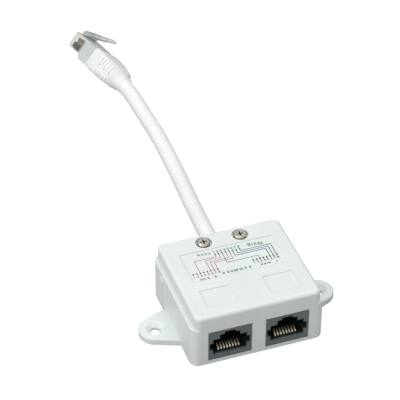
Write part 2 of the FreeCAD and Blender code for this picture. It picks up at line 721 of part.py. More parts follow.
# Contact carrier behind and under the mouth
def make_carrier(side):
    body = new_body(f"contact_carrier_{side}")
    back = socket_rear - S.seat_gap
    block_front = back - S.carrier_depth
    tongue = new_sketch(body, "tongue", "XY_Plane", tongue_low)
    half = S.tongue_width / 2
    add_rectangle(tongue, -half, face_y + S.lip_front + S.seat_gap, half, back)
    pad(body, tongue, S.tongue_thick + S.groove_deep)
    block = new_sketch(body, "block", "XY_Plane", tongue_low)
    half = S.carrier_width / 2
    add_rectangle(block, -half, block_front, half, back)
    pad(body, block, socket_top - tongue_low - S.seat_gap)

    # Grooves along the tongue, slots up the rear block, and a slit that joins them
    grooves = new_sketch(body, "grooves", "XY_Plane", groove_floor)
    slots = new_sketch(body, "slots", "XY_Plane", groove_floor)
    for number in range(CONTACTS):
        x = contact_offset(number)
        half = S.groove_width / 2
        add_rectangle(grooves, x - half, face_y, x + half, block_front)
        tail = tail_inner if number % 2 else tail_outer
        clear = S.contact_thick / 2 + S.seat_gap
        add_rectangle(slots, x - half, tail - clear, x + half, socket_rear + 1)
    pocket(body, grooves, S.groove_deep + 1, reverse=True)
    pocket(body, slots, S.socket_tall, reverse=True)
    slit = new_sketch(body, "slit", "XY_Plane", groove_floor)
    half = (S.contact_pitch * (CONTACTS - 1) + S.groove_width) / 2
    add_rectangle(slit, -half, block_front - 1, half, socket_rear + 1)
    pocket(body, slit, S.contact_thick + 2 * S.contact_gap, reverse=True)
    body.setExpression("Placement.Base.x", socket_middle(side).text)


# Sprung contact: solder tail, run under the mouth, front bend, and slope up into the mouth
def make_contact(side, number):
    body = new_body(f"socket_contact_{side}_{number + 1}")
    tail_y = tail_inner if number % 2 else tail_outer
    nose_y = face_y + S.contact_nose
    nose_z = run_z + S.contact_bend
    slope = math.radians(float(S.contact_slope))
    tail = float(tail_y), float(tail_top)
    bend = float(S.contact_bend)
    end_y = face_y + S.contact_reach
    ny, nz, run = float(nose_y), float(nose_z), float(run_z)

    path = new_sketch(body, "path", "YZ_Plane")
    up = Vector(0, 0, 1)
    leave = Vector(ny - bend * math.sin(slope), nz + bend * math.cos(slope), 0)
    far = leave + Vector(1, math.tan(slope), 0) * (float(end_y) - leave.x)
    path.addGeometry(Part.LineSegment(Vector(*tail, 0), Vector(tail[0], run, 0)))
    path.addGeometry(Part.LineSegment(Vector(tail[0], run, 0), Vector(ny, run, 0)))
    hook = Part.Circle(Vector(ny, nz, 0), up, bend)
    path.addGeometry(Part.ArcOfCircle(hook, math.pi / 2 + slope, 3 * math.pi / 2))
    path.addGeometry(Part.LineSegment(leave, far))
    path.addConstraint(Sketcher.Constraint("Coincident", 0, 2, 1, 1))
    path.addConstraint(Sketcher.Constraint("Tangent", 1, 2, 2, 2))
    path.addConstraint(Sketcher.Constraint("Tangent", 2, 1, 3, 1))
    path.addConstraint(Sketcher.Constraint("Vertical", 0))
    path.addConstraint(Sketcher.Constraint("Horizontal", 1))
    bind_point(path, 0, 1, tail_y, tail_top)
    bind(path, "Radius", 2, value=S.contact_bend)
    bind_point(path, 2, 3, nose_y, nose_z)
    bind(path, "DistanceX", -1, 1, 3, 2, value=end_y)
    index = path.addConstraint(Sketcher.Constraint("Angle", 3, slope))
    path.setExpression(f"Constraints[{index}]", f"{S.contact_slope.text} * 1 deg")

    section = new_sketch(body, "section", "XY_Plane", tail_top)
    half, deep = S.contact_wide / 2, S.contact_thick / 2
    add_rectangle(section, -half, tail_y - deep, half, tail_y + deep)
    strip = body.newObject("PartDesign::AdditivePipe", f"{body.Name}_strip")
    strip.Profile = section
    strip.Spine = (path, [])
    strip.Transition = "Right corner"
    place = socket_middle(side) + contact_offset(number)
    body.setExpression("Placement.Base.x", place.text)


# Cable tie round the lead, against the rib
def make_tie():
    body = new_body("cable_tie")
    start = cradle_front - S.tie_gap
    inner = S.cable_round + S.tie_fit
    ring = new_sketch(body, "ring", "XZ_Plane", -start)
    add_circle(ring, 0, S.cable_height, inner + S.tie_thick)
    add_circle(ring, 0, S.cable_height, inner)
    pad(body, ring, S.tie_wide)
    head = new_sketch(body, "head", "XZ_Plane", -start)
    low = S.cable_height + inner + S.tie_thick / 3
    add_rectangle(head, -S.tie_head / 2, low, S.tie_head / 2, low + S.tie_head_tall)
    pad(body, head, S.tie_wide)


# Round tube along straight runs joined by tangent arcs
def tube(points, radius):
    edges = []
    radii = []
    start = points[0]
    for i in range(1, len(points) - 1):
        before = points[i] - points[i - 1]
        after = points[i + 1] - points[i]
        half = before.getAngle(after) / 2
        reach = ARC_SHARE * min(before.Length, after.Length)
        bend = reach / math.tan(half)
        ahead = Vector(before).normalize()
        onward = Vector(after).normalize()
        inward = (onward - ahead).normalize()
        first = points[i] - ahead * reach
        last = points[i] + onward * reach
        middle = points[i] + inward * (bend / math.cos(half) - bend)
        edges.append(Part.LineSegment(start, first).toShape())
        edges.append(Part.Arc(first, middle, last).toShape())
        radii.append(bend)
        start = last
    edges.append(Part.LineSegment(start, points[-1]).toShape())
    path = Part.Wire(edges)
    ring = Part.Wire([Part.Circle(points[0], points[1] - points[0], radius).toShape()])
    solid = path.makePipeShell([ring], True, False)
    ideal = math.pi * radius**2 * path.Length
    if abs(solid.Volume - ideal) > 0.01 * ideal:
        raise RuntimeError(f"tube of {solid.Volume:.1f} instead of {ideal:.1f} cubic mm")
    listed = ", ".join(f"{value:.0f}" for value in radii)
    print(f"lead: {path.Length:.1f} mm long, bends of {listed} mm")
    return solid


# Eight-sided conductor with mitred corners; its first run is along Y
def conductor(points):
    radius = float(S.wire_round)
    corners = []
    for turn in range(9):
        angle = math.radians(45 * turn)
        corners.append(points[0] + Vector(radius * math.cos(angle), 0, radius * math.sin(angle)))
    turns = zip(points, points[1:], points[2:])
    kept = [b for a, b, c in turns if (b - a).getAngle(c - b) > STRAIGHT]
    path = Part.makePolygon([points[0], *kept, points[-1]])
    solid = path.makePipeShell([Part.makePolygon(corners)], True, False, 1)
    ideal = 2 * math.sqrt(2) * radius**2 * path.Length
    if abs(solid.Volume - ideal) > 0.01 * ideal:
        raise RuntimeError(f"conductor of {solid.Volume:.2f} instead of {ideal:.2f} cubic mm")
    return solid


def add_shape(name, shape, place=None):
    feature = doc.addObject("Part::Feature", name)
    feature.Label = name
    feature.Shape = shape
    if place:
        feature.Placement = place
    pieces.append(feature)


# Conductors' places round the middle of the lead, from left to right, lower ones outermost
def wire_ring(number):
    angle = {0: 202.5, 1: 157.5, 2: 247.5, 3: 112.5, 4: 67.5, 5: 292.5, 6: 22.5, 7: 337.5}[number]
    ring = float(S.wire_ring)
    return ring * math.cos(math.radians(angle)), ring * math.sin(math.radians(angle))


def make_board_wires():
    end = Vector(0, float(lead_start - S.seat_gap), float(S.cable_height))
    level = float(board_low - S.wire_under)
    for number in range(CONTACTS):
        x, z = wire_ring(number)
        hole_x, hole_y = (float(value) for value in wire_hole(number))
        start = end + Vector(x, 0, z)
        out = start - Vector(0, float(S.wire_start), 0)
        ready = Vector(x, start.y - float(S.wire_ready), level + z)
        under = Vector(hole_x, hole_y, level + z)
        top = Vector(hole_x, hole_y, float(board_top + S.wire_rise))
        add_shape(f"board_wire_{number + 1}", conductor([start, out, ready, under, top]))


# Placement shared by the pieces at the plug: nose towards local Y, latch towards local Z
def plug_place():
    lean = Rotation(Vector(0, 1, 0), float(S.plug_lean))
    heading = Rotation(Vector(0, 0, 1), float(S.plug_heading))
    return Placement(Vector(*PLUG_NOSE), heading.multiply(lean))


def lead_points():
    """Route of the lead's middle, from inside the case to inside the plug."""
    height = float(S.cable_height)
    start = [Vector(0, float(lead_start), height), Vector(0, float(rear_y + S.lead_at_case), height)]
    inner = S.plug_long - S.jacket_in_plug + S.seat_gap
    outer = S.plug_long + S.boot_past + S.collar_long + S.lead_at_plug
    place = plug_place()
    ends = [Vector(0, -float(y), -float(S.axis_drop)) for y in (outer, inner)]
    middle = [Vector(*point) for point in LEAD_ON_TABLE]
    return start + middle + [place.multVec(point) for point in ends]


def make_plug_body():
    body = new_body("plug_body")
    top, step_end = S.plug_half, S.step_start + S.step_run
    side = new_sketch(body, "side", "YZ_Plane")
    add_polygon(
        side,
        [
            (0, S.plug_nose - S.plug_half),
            (-S.plug_nose, -S.plug_half),
            (-S.step_start, -S.plug_half),
            (-step_end, -S.shoulder),
            (-S.plug_front_long, -S.shoulder),
            (-S.plug_front_long, top),
            (-S.plug_nose, top),
            (0, top - S.plug_nose),
        ],
    )
    pad(body, side, S.plug_width, both=True)
    neck = new_sketch(body, "neck", "YZ_Plane")
    axis_z = -S.axis_drop
    neck_front = 1 - S.plug_front_long
    add_rectangle(neck, -S.plug_long, axis_z - S.neck_half, neck_front, axis_z + S.neck_half)
    pad(body, neck, S.neck_width, both=True)

    # Latch lever: wide up to its shoulder, slim behind
    root = top - S.plug_nose / 2
    lever = new_sketch(body, "lever", "YZ_Plane")
    under = S.lever_lift - S.lever_thick
    add_polygon(
        lever,
        [
            (-S.plug_nose / 2, root - S.plug_nose / 2),
            (-2 * S.lever_thick, root - S.plug_nose / 2),
            (-3 * S.lever_thick, S.lever_start - S.lever_thick / 3),
            (-S.lever_long, under),
            (-S.lever_long - S.lever_thick / 3, under + S.lever_thick / 2),
            (S.lever_thick / 3 - S.lever_long, S.lever_lift),
            (-S.lever_thick, S.lever_start + S.lever_thick / 3),
            (-S.plug_nose / 2, S.lever_start - S.lever_thick / 3),
        ],
    )
    pad(body, lever, S.lever_wide, both=True)
    trim = new_sketch(body, "trim", "XY_Plane", top + S.plug_nose / 2)
    for sign in SIDES.values():
        near, far = sorted((sign * S.lever_slim / 2, sign * S.lever_wide), key=float)
        add_rectangle(trim, near, -S.plug_long, far, -S.lever_shoulder)
    pocket(body, trim, S.lever_lift, reverse=True)

    # Space for the lead's end, space where the conductors spread, and the channels
    lead_end = S.plug_long - S.jacket_in_plug
    bore = new_sketch(body, "bore", "XZ_Plane", lead_end)
    add_circle(bore, 0, axis_z, cable_hole)
    pocket(body, bore, S.jacket_in_plug + 1, reverse=True)
    spread = new_sketch(body, "spread", "XZ_Plane", lead_end)
    spread_half = S.wire_ring + 2 * S.wire_round
    add_rectangle(
        spread, -S.cavity_half, axis_z - spread_half, S.cavity_half, axis_z + spread_half
    )
    pocket(body, spread, S.cavity_long)
    channel = new_sketch(body, "channel", "XZ_Plane", lead_end)
    slots = new_sketch(body, "slots", "XY_Plane", -S.plug_half)
    for number in range(CONTACTS):
        x = contact_offset(number)
        add_octagon(channel, x, S.row_height, S.wire_round + S.wire_hole_fit)
        half = S.blade_thick / 2 + S.blade_fit
        near, far = S.blade_front + S.blade_long + S.blade_fit, S.blade_front - S.blade_fit
        add_rectangle(slots, x - half, -near, x + half, -far)
    pocket(body, channel, lead_end - S.blade_front)
    pocket(body, slots, S.plug_half + S.row_height - S.wire_round, reverse=True)
    window = new_sketch(body, "window", "XY_Plane", -S.shoulder)
    back = S.plug_front_long - S.crimp_long
    add_rectangle(window, -S.crimp_half, -back, S.crimp_half, S.crimp_long - back)
    pocket(body, window, S.crimp_deep, reverse=True)
    body.Placement = plug_place()


def make_blade(number):
    body = new_body(f"plug_contact_{number + 1}")
    low = S.blade_sunk - S.plug_half
    high = S.row_height - S.wire_round - S.contact_gap
    back = -(S.blade_front + S.blade_long)
    side = new_sketch(body, "side", "YZ_Plane", contact_offset(number))
    bevel = S.blade_fit * 8
    add_polygon(
        side,
        [
            (-S.blade_front, low + bevel),
            (-S.blade_front - bevel, low),
            (back, low),
            (back, high),
            (-S.blade_front, high),
        ],
    )
    pad(body, side, S.blade_thick, both=True)
    body.Placement = plug_place()


def make_plug_wires():
    place = plug_place()
    lead_end = -float(S.plug_long - S.jacket_in_plug)
    axis_z = -float(S.axis_drop)
    row = float(S.row_height)
    straight = float(S.wire_straight)
    for number in range(CONTACTS):
        x, z = wire_ring(number)
        across = float(contact_offset(number))
        start = Vector(-x, lead_end, axis_z + z)
        out = start + Vector(0, straight, 0)
        spread = Vector(across, lead_end + float(S.cavity_long) - straight / 2, row)
        tip = Vector(across, -float(S.blade_front), row)
        add_shape(f"plug_wire_{number + 1}", conductor([start, out, spread, tip]), place)


# Boot: a rounded block with a collar, bored for the plug and the lead
def make_boot():
    body = new_body("plug_boot")
    rim = S.plug_front_long + S.seat_gap
    rear = S.plug_long + S.boot_past
    half_x, half_z = S.boot_half_width, S.boot_half_thick
    axis_z = -S.axis_drop
    block = new_sketch(body, "block", "XZ_Plane", rim)
    add_rounded(block, half_x, axis_z, half_z, S.boot_corner)
    pad(body, block, rear - rim)
    dress(body, "Chamfer", S.boot_bevel, lambda edge: abs(edge.BoundBox.YMax + float(rear)) < 1e-4)
    collar = new_sketch(body, "collar", "XZ_Plane", rear - S.boot_bevel)
    add_circle(collar, 0, axis_z, S.collar_round)
    pad(body, collar, S.boot_bevel + S.collar_long)

    # Grip ribs on both narrow sides, in two rows
    ribs_from = half_x - 1
    for side, sign in SIDES.items():
        ribs = new_sketch(body, f"ribs_{side}", "YZ_Plane", sign * ribs_from)
        for number in range(int(S.rib_count.number)):
            y = -(rim + S.rib_first + number * S.rib_pitch)
            half = S.rib_wide / 2
            upper = axis_z - half_z / 10, axis_z + half_z - S.boot_corner / 2
            lower = axis_z - half_z + 3 * S.boot_corner / 4, axis_z - half_z / 3
            for low, high in (upper, lower):
                add_rectangle(ribs, y - half, low, y + half, high)
        pad(body, ribs, 1 + S.rib_proud, reverse=sign < 0)

    fit = S.seat_gap
    room = new_sketch(body, "room", "XZ_Plane", rim)
    neck_x, neck_z = S.neck_width / 2 + fit, S.neck_half + fit
    add_rectangle(room, -neck_x, axis_z - neck_z, neck_x, axis_z + neck_z)
    pocket(body, room, S.plug_long - S.plug_front_long + S.boot_bore_seat, reverse=True)
    bore = new_sketch(body, "bore", "XZ_Plane", rim)
    add_circle(bore, 0, axis_z, cable_hole)
    pocket(body, bore, rear - rim + S.collar_long + 1, reverse=True)
    body.Placement = plug_place()


make_base_shell()
make_top_cover()
make_board()
for side in SIDES:
    make_screw(side)
    make_socket(side)
    make_carrier(side)
    for number in range(CONTACTS):
        make_contact(side, number)
make_tie()
make_board_wires()
lead = tube(lead_points(), float(S.cable_round))
add_shape("cable_jacket", lead)
make_plug_body()
for number in range(CONTACTS):
    make_blade(number)
make_plug_wires()
make_boot()
doc.recompute()

# Every object has to be sound before anything is written
for item in doc.Objects:
    if {"Invalid", "Error"} & set(item.State):
        raise RuntimeError(f"{item.Name} failed: {item.State}")
for piece in pieces:
    if piece.Shape.isNull() or not piece.Shape.isValid() or not piece.Shape.Solids:
        raise RuntimeError(f"{piece.Label} is not a sound solid")

os.makedirs("parts", exist_ok=True)
for piece in pieces:
    piece.Shape.exportStep(f"parts/{piece.Label}.step")
print(f"{len(pieces)} pieces written")
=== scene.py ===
"""Looks of a network splitter adapter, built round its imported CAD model. Metres, in the CAD frame."""

import math

import bmesh
import bpy
from bpy.props import FloatProperty, FloatVectorProperty, IntProperty, PointerProperty
from mathutils import Matrix, Vector


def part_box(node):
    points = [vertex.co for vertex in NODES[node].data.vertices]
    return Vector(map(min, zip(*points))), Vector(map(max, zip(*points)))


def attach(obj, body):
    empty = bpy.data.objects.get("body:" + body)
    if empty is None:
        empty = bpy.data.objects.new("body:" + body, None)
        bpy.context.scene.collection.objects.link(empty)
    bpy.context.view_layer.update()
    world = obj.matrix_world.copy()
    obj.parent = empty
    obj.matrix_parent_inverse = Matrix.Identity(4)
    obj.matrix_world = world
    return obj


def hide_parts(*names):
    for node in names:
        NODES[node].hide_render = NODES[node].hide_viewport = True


bl_info = {
    "name": "Network Splitter Adapter",
    "version": (1, 0, 0),
    "blender": (4, 5, 0),
    "location": "View3D > Sidebar > Splitter",
    "description": "Finishes a splitter adapter: case, print, sockets, screws, lead and plug",
    "category": "Object",
}

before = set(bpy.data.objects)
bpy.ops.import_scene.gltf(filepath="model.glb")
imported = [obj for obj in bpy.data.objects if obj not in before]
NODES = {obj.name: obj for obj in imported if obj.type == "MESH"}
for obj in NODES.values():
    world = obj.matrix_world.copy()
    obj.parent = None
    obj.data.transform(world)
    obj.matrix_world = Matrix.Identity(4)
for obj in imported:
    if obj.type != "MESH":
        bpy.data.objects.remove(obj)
# Which way a side lies from the middle, and the numbers of a row of eight contacts
SIDES = {"left": -1, "right": 1}
NUMBERS = range(1, 9)
MIDDLE_NUMBER = 4.5

# Shallow pad on each side wall, guessed from two faint upright lines on the left one
SIDE_WALL = 0.0234
PAD_SUNK = 0.0005
PAD_PROUD = 0.0004
PAD_PLACE = (0.0087, 0.0127)
PAD_HEIGHT = (0.0032, 0.0139)

# Finishes that a user would rarely change
BOARD_GREEN = (0.03, 0.16, 0.06)
TIE_NYLON = (0.72, 0.73, 0.70)
BLADE_GOLD = (0.75, 0.50, 0.24)
SCREW_STEEL = (0.78, 0.75, 0.64)
# Near-black painted shade for the walls between the plug's blades
PLUG_WALL_SHADE = (0.05, 0.045, 0.04)
BOOT_SHARE = 0.96

# Painted shade deep inside a piece, where little light reaches: start and end from its face, and the share
# of its colour left
MOUTH_SHADE = (0.0001, 0.001, 0.12)
CONTACT_SHADE = (0.0022, 0.0037, 0.04)
SCREW_SHADE = (-0.0001, -0.0007, 0.2)

# The label lies in the cover's recess
RECESS_DEEP = 0.0003
PRINT_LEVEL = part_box("top_cover")[1].z - RECESS_DEEP
INK_COLOURS = {
    "dark": (0.012, 0.020, 0.035),
    "green": (0.03, 0.21, 0.09),
    "red": (0.42, 0.05, 0.04),
    "maroon": (0.13, 0.018, 0.02),
    "blue": (0.04, 0.12, 0.22),
    "grey": (0.05, 0.07, 0.09),
}
# The label's places and sizes are in mm from here on, and its widths in line widths
MM_IN_METRE = 1000
# Rows of pin numbers: ink, first one's middle, pitch, height of the row's middle, size
PIN_ROWS = {
    "top": ("green", -4.95, 1.265, 10.45, 1.1),
    "left": ("red", -15.35, 1.25, 0.25, 1.0),
    "right": ("blue", 6.25, 1.22, 0.95, 1.0),
}
PIN_X = {
    row: {number: first + (number - 1) * pitch for number in NUMBERS}
    for row, (_, first, pitch, _, _) in PIN_ROWS.items()
}
# Font size in metres for figures 1 mm high, and how much bolder they are than the font
FIGURE_SIZE = 0.0014
FIGURE_BOLD = 0.00004
# Wires from the top row: ink, pin at the top, height of the level stretch, row and pin below
WIRES = (
    ("red", 1, 7.8, "left", 3), ("red", 2, 7.0, "left", 6),
    ("red", 4, 6.0, "left", 7), ("red", 5, 5.2, "left", 8),
    ("blue", 8, 8.2, "right", 8), ("blue", 7, 7.3, "right", 7), ("blue", 6, 6.4, "right", 6),
    ("grey", 3, 3.9, "right", 3),
)
WIRE_TOP = 9.6
WIRE_FOOT = {"left": 2.0, "right": 2.7}
WIRE_WIDTH = {"red": 0.9, "blue": 1.25, "grey": 0.9}
# Ticks at the pins: row, pins, ink, upper end, lower end, width
TICKS = (
    ("left", NUMBERS, "maroon", 1.95, 1.2, 2.2),
    ("right", NUMBERS, "dark", 2.65, 1.75, 2.2),
    ("top", NUMBERS[:5], "dark", 9.5, 8.7, 1.8),
    ("top", NUMBERS[5:], "green", 9.5, 8.7, 1.8),
)
# Rows of upright strokes in place of words: ink, height of the row's middle, stroke, slope, ends
STROKE_PITCH = 0.4
STROKE_WIDTH = 1.1
WORDS = (
    ("green", 10.5, 0.9, -0.12, ((-10.7, -9.5), (-9.2, -8.3), (-8.0, -7.1), (-6.8, -6.1))),
    ("green", 10.2, 1.5, -0.15, ((7.3, 8.5), (8.8, 9.3), (9.6, 10.5), (10.8, 11.5), (11.8, 12.6))),
    ("green", -0.8, 1.2, 0.0, ((-5.6, -4.6), (-4.0, -3.3), (-2.7, -1.9), (-1.6, -1.0), (-0.8, -0.2))),
    ("green", -0.8, 1.2, 0.0, ((0.4, 1.5), (2.2, 3.0), (3.8, 4.6))),
    ("maroon", -1.6, 0.9, 0.0, ((-13.8, -13.0), (-12.7, -11.9), (-11.3, -10.3), (-8.8, -8.1))),
    ("dark", -0.9, 0.8, 0.0, ((8.0, 8.8), (9.1, 9.9), (10.2, 10.5), (10.8, 11.7), (13.5, 13.9))),
)

# The lead's route. Near the plug it leaves the CAD source's by a few mm, to follow the photograph
LEAD_POINTS = [
    (0.0, 0.007, 0.011),
    (0.0, 0.0285, 0.011),
    (0.0024, 0.053, 0.0065),
    (0.0049, 0.0775, 0.00305),
    (0.0055, 0.1025, 0.00305),
    (0.0049, 0.1125, 0.00305),
    (0.0040, 0.1225, 0.0043),
    (0.0027, 0.1312, 0.0062),
    (-0.00169, 0.14953, 0.0072),
]

# The plug is drawn with its nose at the origin and its lead towards -Y, then turned into place
PLUG_NOSE = (-0.005356, 0.166186, 0.007715)
PLUG_HEADING = 14.0
PLUG_LEAN = 42.7
PLUG_PLACE = (
    Matrix.Translation(PLUG_NOSE)
    @ Matrix.Rotation(math.radians(PLUG_HEADING), 4, "Z")
    @ Matrix.Rotation(math.radians(PLUG_LEAN), 4, "Y")
)
# How far the middle of the lead and the boot lies under the nose's
AXIS_DROP = 0.0007

# Clear plug and its latch lever: place along the plug, half width, bottom, top
PLUG_OUTSIDE = (
    (0.0, 0.00585, -0.00265, 0.00265),
    (-0.0006, 0.00585, -0.00325, 0.00325),
    (-0.0077, 0.00585, -0.00325, 0.00325),
    (-0.0088, 0.00585, -0.0049, 0.00325),
    (-0.0151, 0.00585, -0.0049, 0.00325),
    (-0.0151, 0.0055, -0.0043, 0.0029),
    (-0.0215, 0.0055, -0.0043, 0.0029),
)
LEVER_OUTSIDE = (
    (-0.0003, 0.0031, 0.0032, 0.0045),
    (-0.0012, 0.0031, 0.0032, 0.0053),
    (-0.0024, 0.0031, 0.0032, 0.00566),
    (-0.0036, 0.0031, 0.0045, 0.00603),
    (-0.0086, 0.0031, 0.00611, 0.00754),
    (-0.0086, 0.0016, 0.00611, 0.00754),
    (-0.0144, 0.0016, 0.00797, 0.0093),
    (-0.0152, 0.0016, 0.0086, 0.00875),
)
# Places along the plug between which it turns from milky to clear, and the nose's share of the colour
MILKY_TO_CLEAR = (-0.0080, -0.0062)
NOSE_SHARE = 0.5
# Clear parts: name, sections, opacity behind the nose and at it, share of the plug's colour; the latch's
# lower share is painted shade
CLEAR_PARTS = (
    ("plug_shell", PLUG_OUTSIDE, 0.86, 0.26, 1.0),
    ("plug_latch", LEVER_OUTSIDE, 0.5, 0.45, 0.86),
)
# Walls between the blades, coloured near black as painted shade, since they look dark through the nose
BLADE_PITCH = 0.00102
WALL_COUNT = 9
WALL_CORNERS = ((-0.00025, -0.0042, -0.00294), (0.00025, -0.0004, -0.0009))

# Boot from its rim to its end: place along the plug, half width, half height, corner
BOOT_OUTSIDE = (
    (-0.01515, 0.0064, 0.00445, 0.0013),
    (-0.0185, 0.0065, 0.00455, 0.0015),
    (-0.0220, 0.00645, 0.00455, 0.0019),
    (-0.0250, 0.0062, 0.00445, 0.0025),
    (-0.0275, 0.0058, 0.0043, 0.0031),
    (-0.0289, 0.0054, 0.0042, 0.0035),
    (-0.0292, 0.0051, 0.0041, 0.0036),
    (-0.0306, 0.0041, 0.0036, 0.0035),
    (-0.0314, 0.00345, 0.0033, 0.0032),
    (-0.0335, 0.0033, 0.0032, 0.00315),
)
BOOT_INSIDE = (
    (-0.0335, 0.00303, 0.00303, 0.00302),
    (-0.0217, 0.00303, 0.00303, 0.00302),
    (-0.0216, 0.00555, 0.00365, 0.0004),
    (-0.01515, 0.00555, 0.00365, 0.0004),
)
CORNER_STEPS = 8
# The boot bends down with the lead from here on, by this much at its end, ever more steeply
BEND_START = 0.0165
BEND_LONG = 0.017
BEND_ASIDE = 0.0001
BEND_DOWN = 0.00125
BEND_POWER = 1.5
# Grip rib: its section over the boot's side, its two stretches across it, and its ends' share
RIB_PROFILE = (
    (-0.0002, -0.00042), (0.0003, -0.0004), (0.0004, -0.0003),
    (0.0004, 0.0003), (0.0003, 0.0004), (-0.0002, 0.00042),
)
RIB_STRETCHES = ((-0.00055, 0.0037), (-0.0033, -0.0016))
RIB_STEPS = 8
RIB_TIP = 0.4
FIRST_RIB = -0.0218

# Conductors 1 to 8: slot, angle round the lead's middle in degrees, colour, stripe if it has one
ORANGE = (0.82, 0.30, 0.05)
GREEN = (0.06, 0.36, 0.12)
BLUE = (0.05, 0.15, 0.52)
BROWN = (0.24, 0.11, 0.05)
CONDUCTORS = (
    ("wire_white_orange", 202.5, (0.80, 0.78, 0.74), ORANGE),
    ("wire_orange", 157.5, ORANGE, None),
    ("wire_white_green", 247.5, (0.80, 0.80, 0.76), GREEN),
    ("wire_blue", 112.5, BLUE, None),
    ("wire_white_blue", 67.5, (0.80, 0.80, 0.80), BLUE),
    ("wire_green", 292.5, GREEN, None),
    ("wire_white_brown", 22.5, (0.80, 0.78, 0.74), BROWN),
    ("wire_brown", 337.5, BROWN, None),
)
# They leave the lead in a ring, run straight, then spread to one row and run on to the nose
RING_RADIUS = 0.00195
RING_PLACE = -0.017
RING_STRAIGHT = 0.0013
ROW_START = -0.01305
ROW_END = -0.0009
ROW_LEVEL = 0.0011

# Lights: name, place, size, share of the main light's power, colour
LIGHTS = (
    ("top_light", (0.05, 0.1, 0.9), 0.7, 1.0, (1.0, 1.0, 1.0)),
    ("left_light", (-0.8, -0.1, 0.4), 0.5, 0.6, (0.97, 0.99, 1.0)),
    ("front_light", (-0.35, -0.7, 0.5), 0.4, 0.3, (1.0, 1.0, 1.0)),
)
FLOOR_HALF = 3
FLOOR_THICK = 0.002
FLOOR_COLOUR = (0.35, 0.35, 0.35)
FLOOR_BRIGHT = 1.05
SKY_COLOUR = (0.95, 0.97, 0.98)
SKY_BRIGHT = 0.5
CAMERA_PLACE = (-0.16505, -0.42573, 0.41457)
CAMERA_TILT = 0.22


# Sizes and colours that a user would change
class CaseSettings(bpy.types.PropertyGroup):
    colour: FloatVectorProperty(
        name="Case colour", description="Colour of the moulded case",
        subtype="COLOR", size=3, min=0.0, max=1.0, default=(0.775, 0.81, 0.79),
    )
    roughness: FloatProperty(
        name="Case roughness", description="How dull the case is",
        subtype="FACTOR", min=0.0, max=1.0, default=0.42,
    )
    edge: FloatProperty(
        name="Edge softness", description="Radius of the softened edges",
        subtype="DISTANCE", unit="LENGTH", min=0.0, max=0.001, default=0.00022,
    )


class SocketSettings(bpy.types.PropertyGroup):
    colour: FloatVectorProperty(
        name="Socket colour", description="Colour of the socket housings",
        subtype="COLOR", size=3, min=0.0, max=1.0, default=(0.135, 0.165, 0.170),
    )
    contact: FloatVectorProperty(
        name="Contact colour", description="Colour of the plated contacts",
        subtype="COLOR", size=3, min=0.0, max=1.0, default=(1.0, 0.92, 0.70),
    )


class PrintSettings(bpy.types.PropertyGroup):
    line: FloatProperty(
        name="Line width", description="Width of a printed line",
        subtype="DISTANCE", unit="LENGTH", min=0.00005, max=0.001, default=0.00022,
    )
    ink: FloatProperty(
        name="Ink thickness", description="Thickness of the ink on the case",
        subtype="DISTANCE", unit="LENGTH", min=0.000005, max=0.0001, default=0.00002,
    )


class LeadSettings(bpy.types.PropertyGroup):
    radius: FloatProperty(
        name="Lead radius", description="Radius of the lead's sleeve",
        subtype="DISTANCE", unit="LENGTH", min=0.001, max=0.01, default=0.003,
    )
    colour: FloatVectorProperty(
        name="Lead colour", description="Colour of the lead's sleeve",
        subtype="COLOR", size=3, min=0.0, max=1.0, default=(0.90, 0.915, 0.88),
    )
    wire: FloatProperty(
        name="Conductor radius", description="Radius of one insulated conductor",
        subtype="DISTANCE", unit="LENGTH", min=0.0001, max=0.001, default=0.0004,
    )


class PlugSettings(bpy.types.PropertyGroup):
    clear: FloatVectorProperty(
        name="Plug colour", description="Tint of the clear plug",
        subtype="COLOR", size=3, min=0.0, max=1.0, default=(0.68, 0.73, 0.70),
    )
    ribs: IntProperty(
        name="Grip ribs", description="Grip ribs in a row on the boot",
        min=0, max=9, default=5,
    )
    pitch: FloatProperty(
        name="Rib pitch", description="From one grip rib to the next",
        subtype="DISTANCE", unit="LENGTH", min=0.0005, max=0.01, default=0.0015,
    )


class StageSettings(bpy.types.PropertyGroup):
    heading: FloatProperty(
        name="Camera heading", description="Camera's direction round the case",
        subtype="ANGLE", unit="ROTATION", default=math.radians(-19.58),
    )
    height: FloatProperty(
        name="Camera height", description="Camera's angle above the table",
        subtype="ANGLE", unit="ROTATION", default=math.radians(38.63),
    )
    lens: FloatProperty(
        name="Lens", description="Focal length of the camera in mm", min=10.0, default=162.0,
    )
    key: FloatProperty(
        name="Key light", description="Power of the main light in watts", min=0.0, default=3.8,
    )


# Materials
def new_material(name):
    material = bpy.data.materials.new(name)
    material.use_nodes = True
    tree = material.node_tree
    return material, tree, tree.nodes["Principled BSDF"]


def set_inputs(node, values):
    for name, value in values.items():
        node.inputs[name].default_value = value


def rgba(colour):
    return (*colour, 1.0)


def object_coordinates(tree):
    return tree.nodes.new("ShaderNodeTexCoord").outputs["Object"]


def grain(tree, shader, scale, depth, edge=0.0):
    """Fine moulded grain and softened edges."""
    noise = tree.nodes.new("ShaderNodeTexNoise")
    set_inputs(noise, {"Scale": scale, "Detail": 4.0, "Roughness": 0.6})
    tree.links.new(object_coordinates(tree), noise.inputs["Vector"])
    bump = tree.nodes.new("ShaderNodeBump")
    set_inputs(bump, {"Strength": 1.0, "Distance": depth})
    tree.links.new(noise.outputs["Fac"], bump.inputs["Height"])
    if edge:
        soft = tree.nodes.new("ShaderNodeBevel")
        soft.samples = 6
        soft.inputs["Radius"].default_value = edge
        tree.links.new(soft.outputs["Normal"], bump.inputs["Normal"])
    tree.links.new(bump.outputs["Normal"], shader.inputs["Normal"])


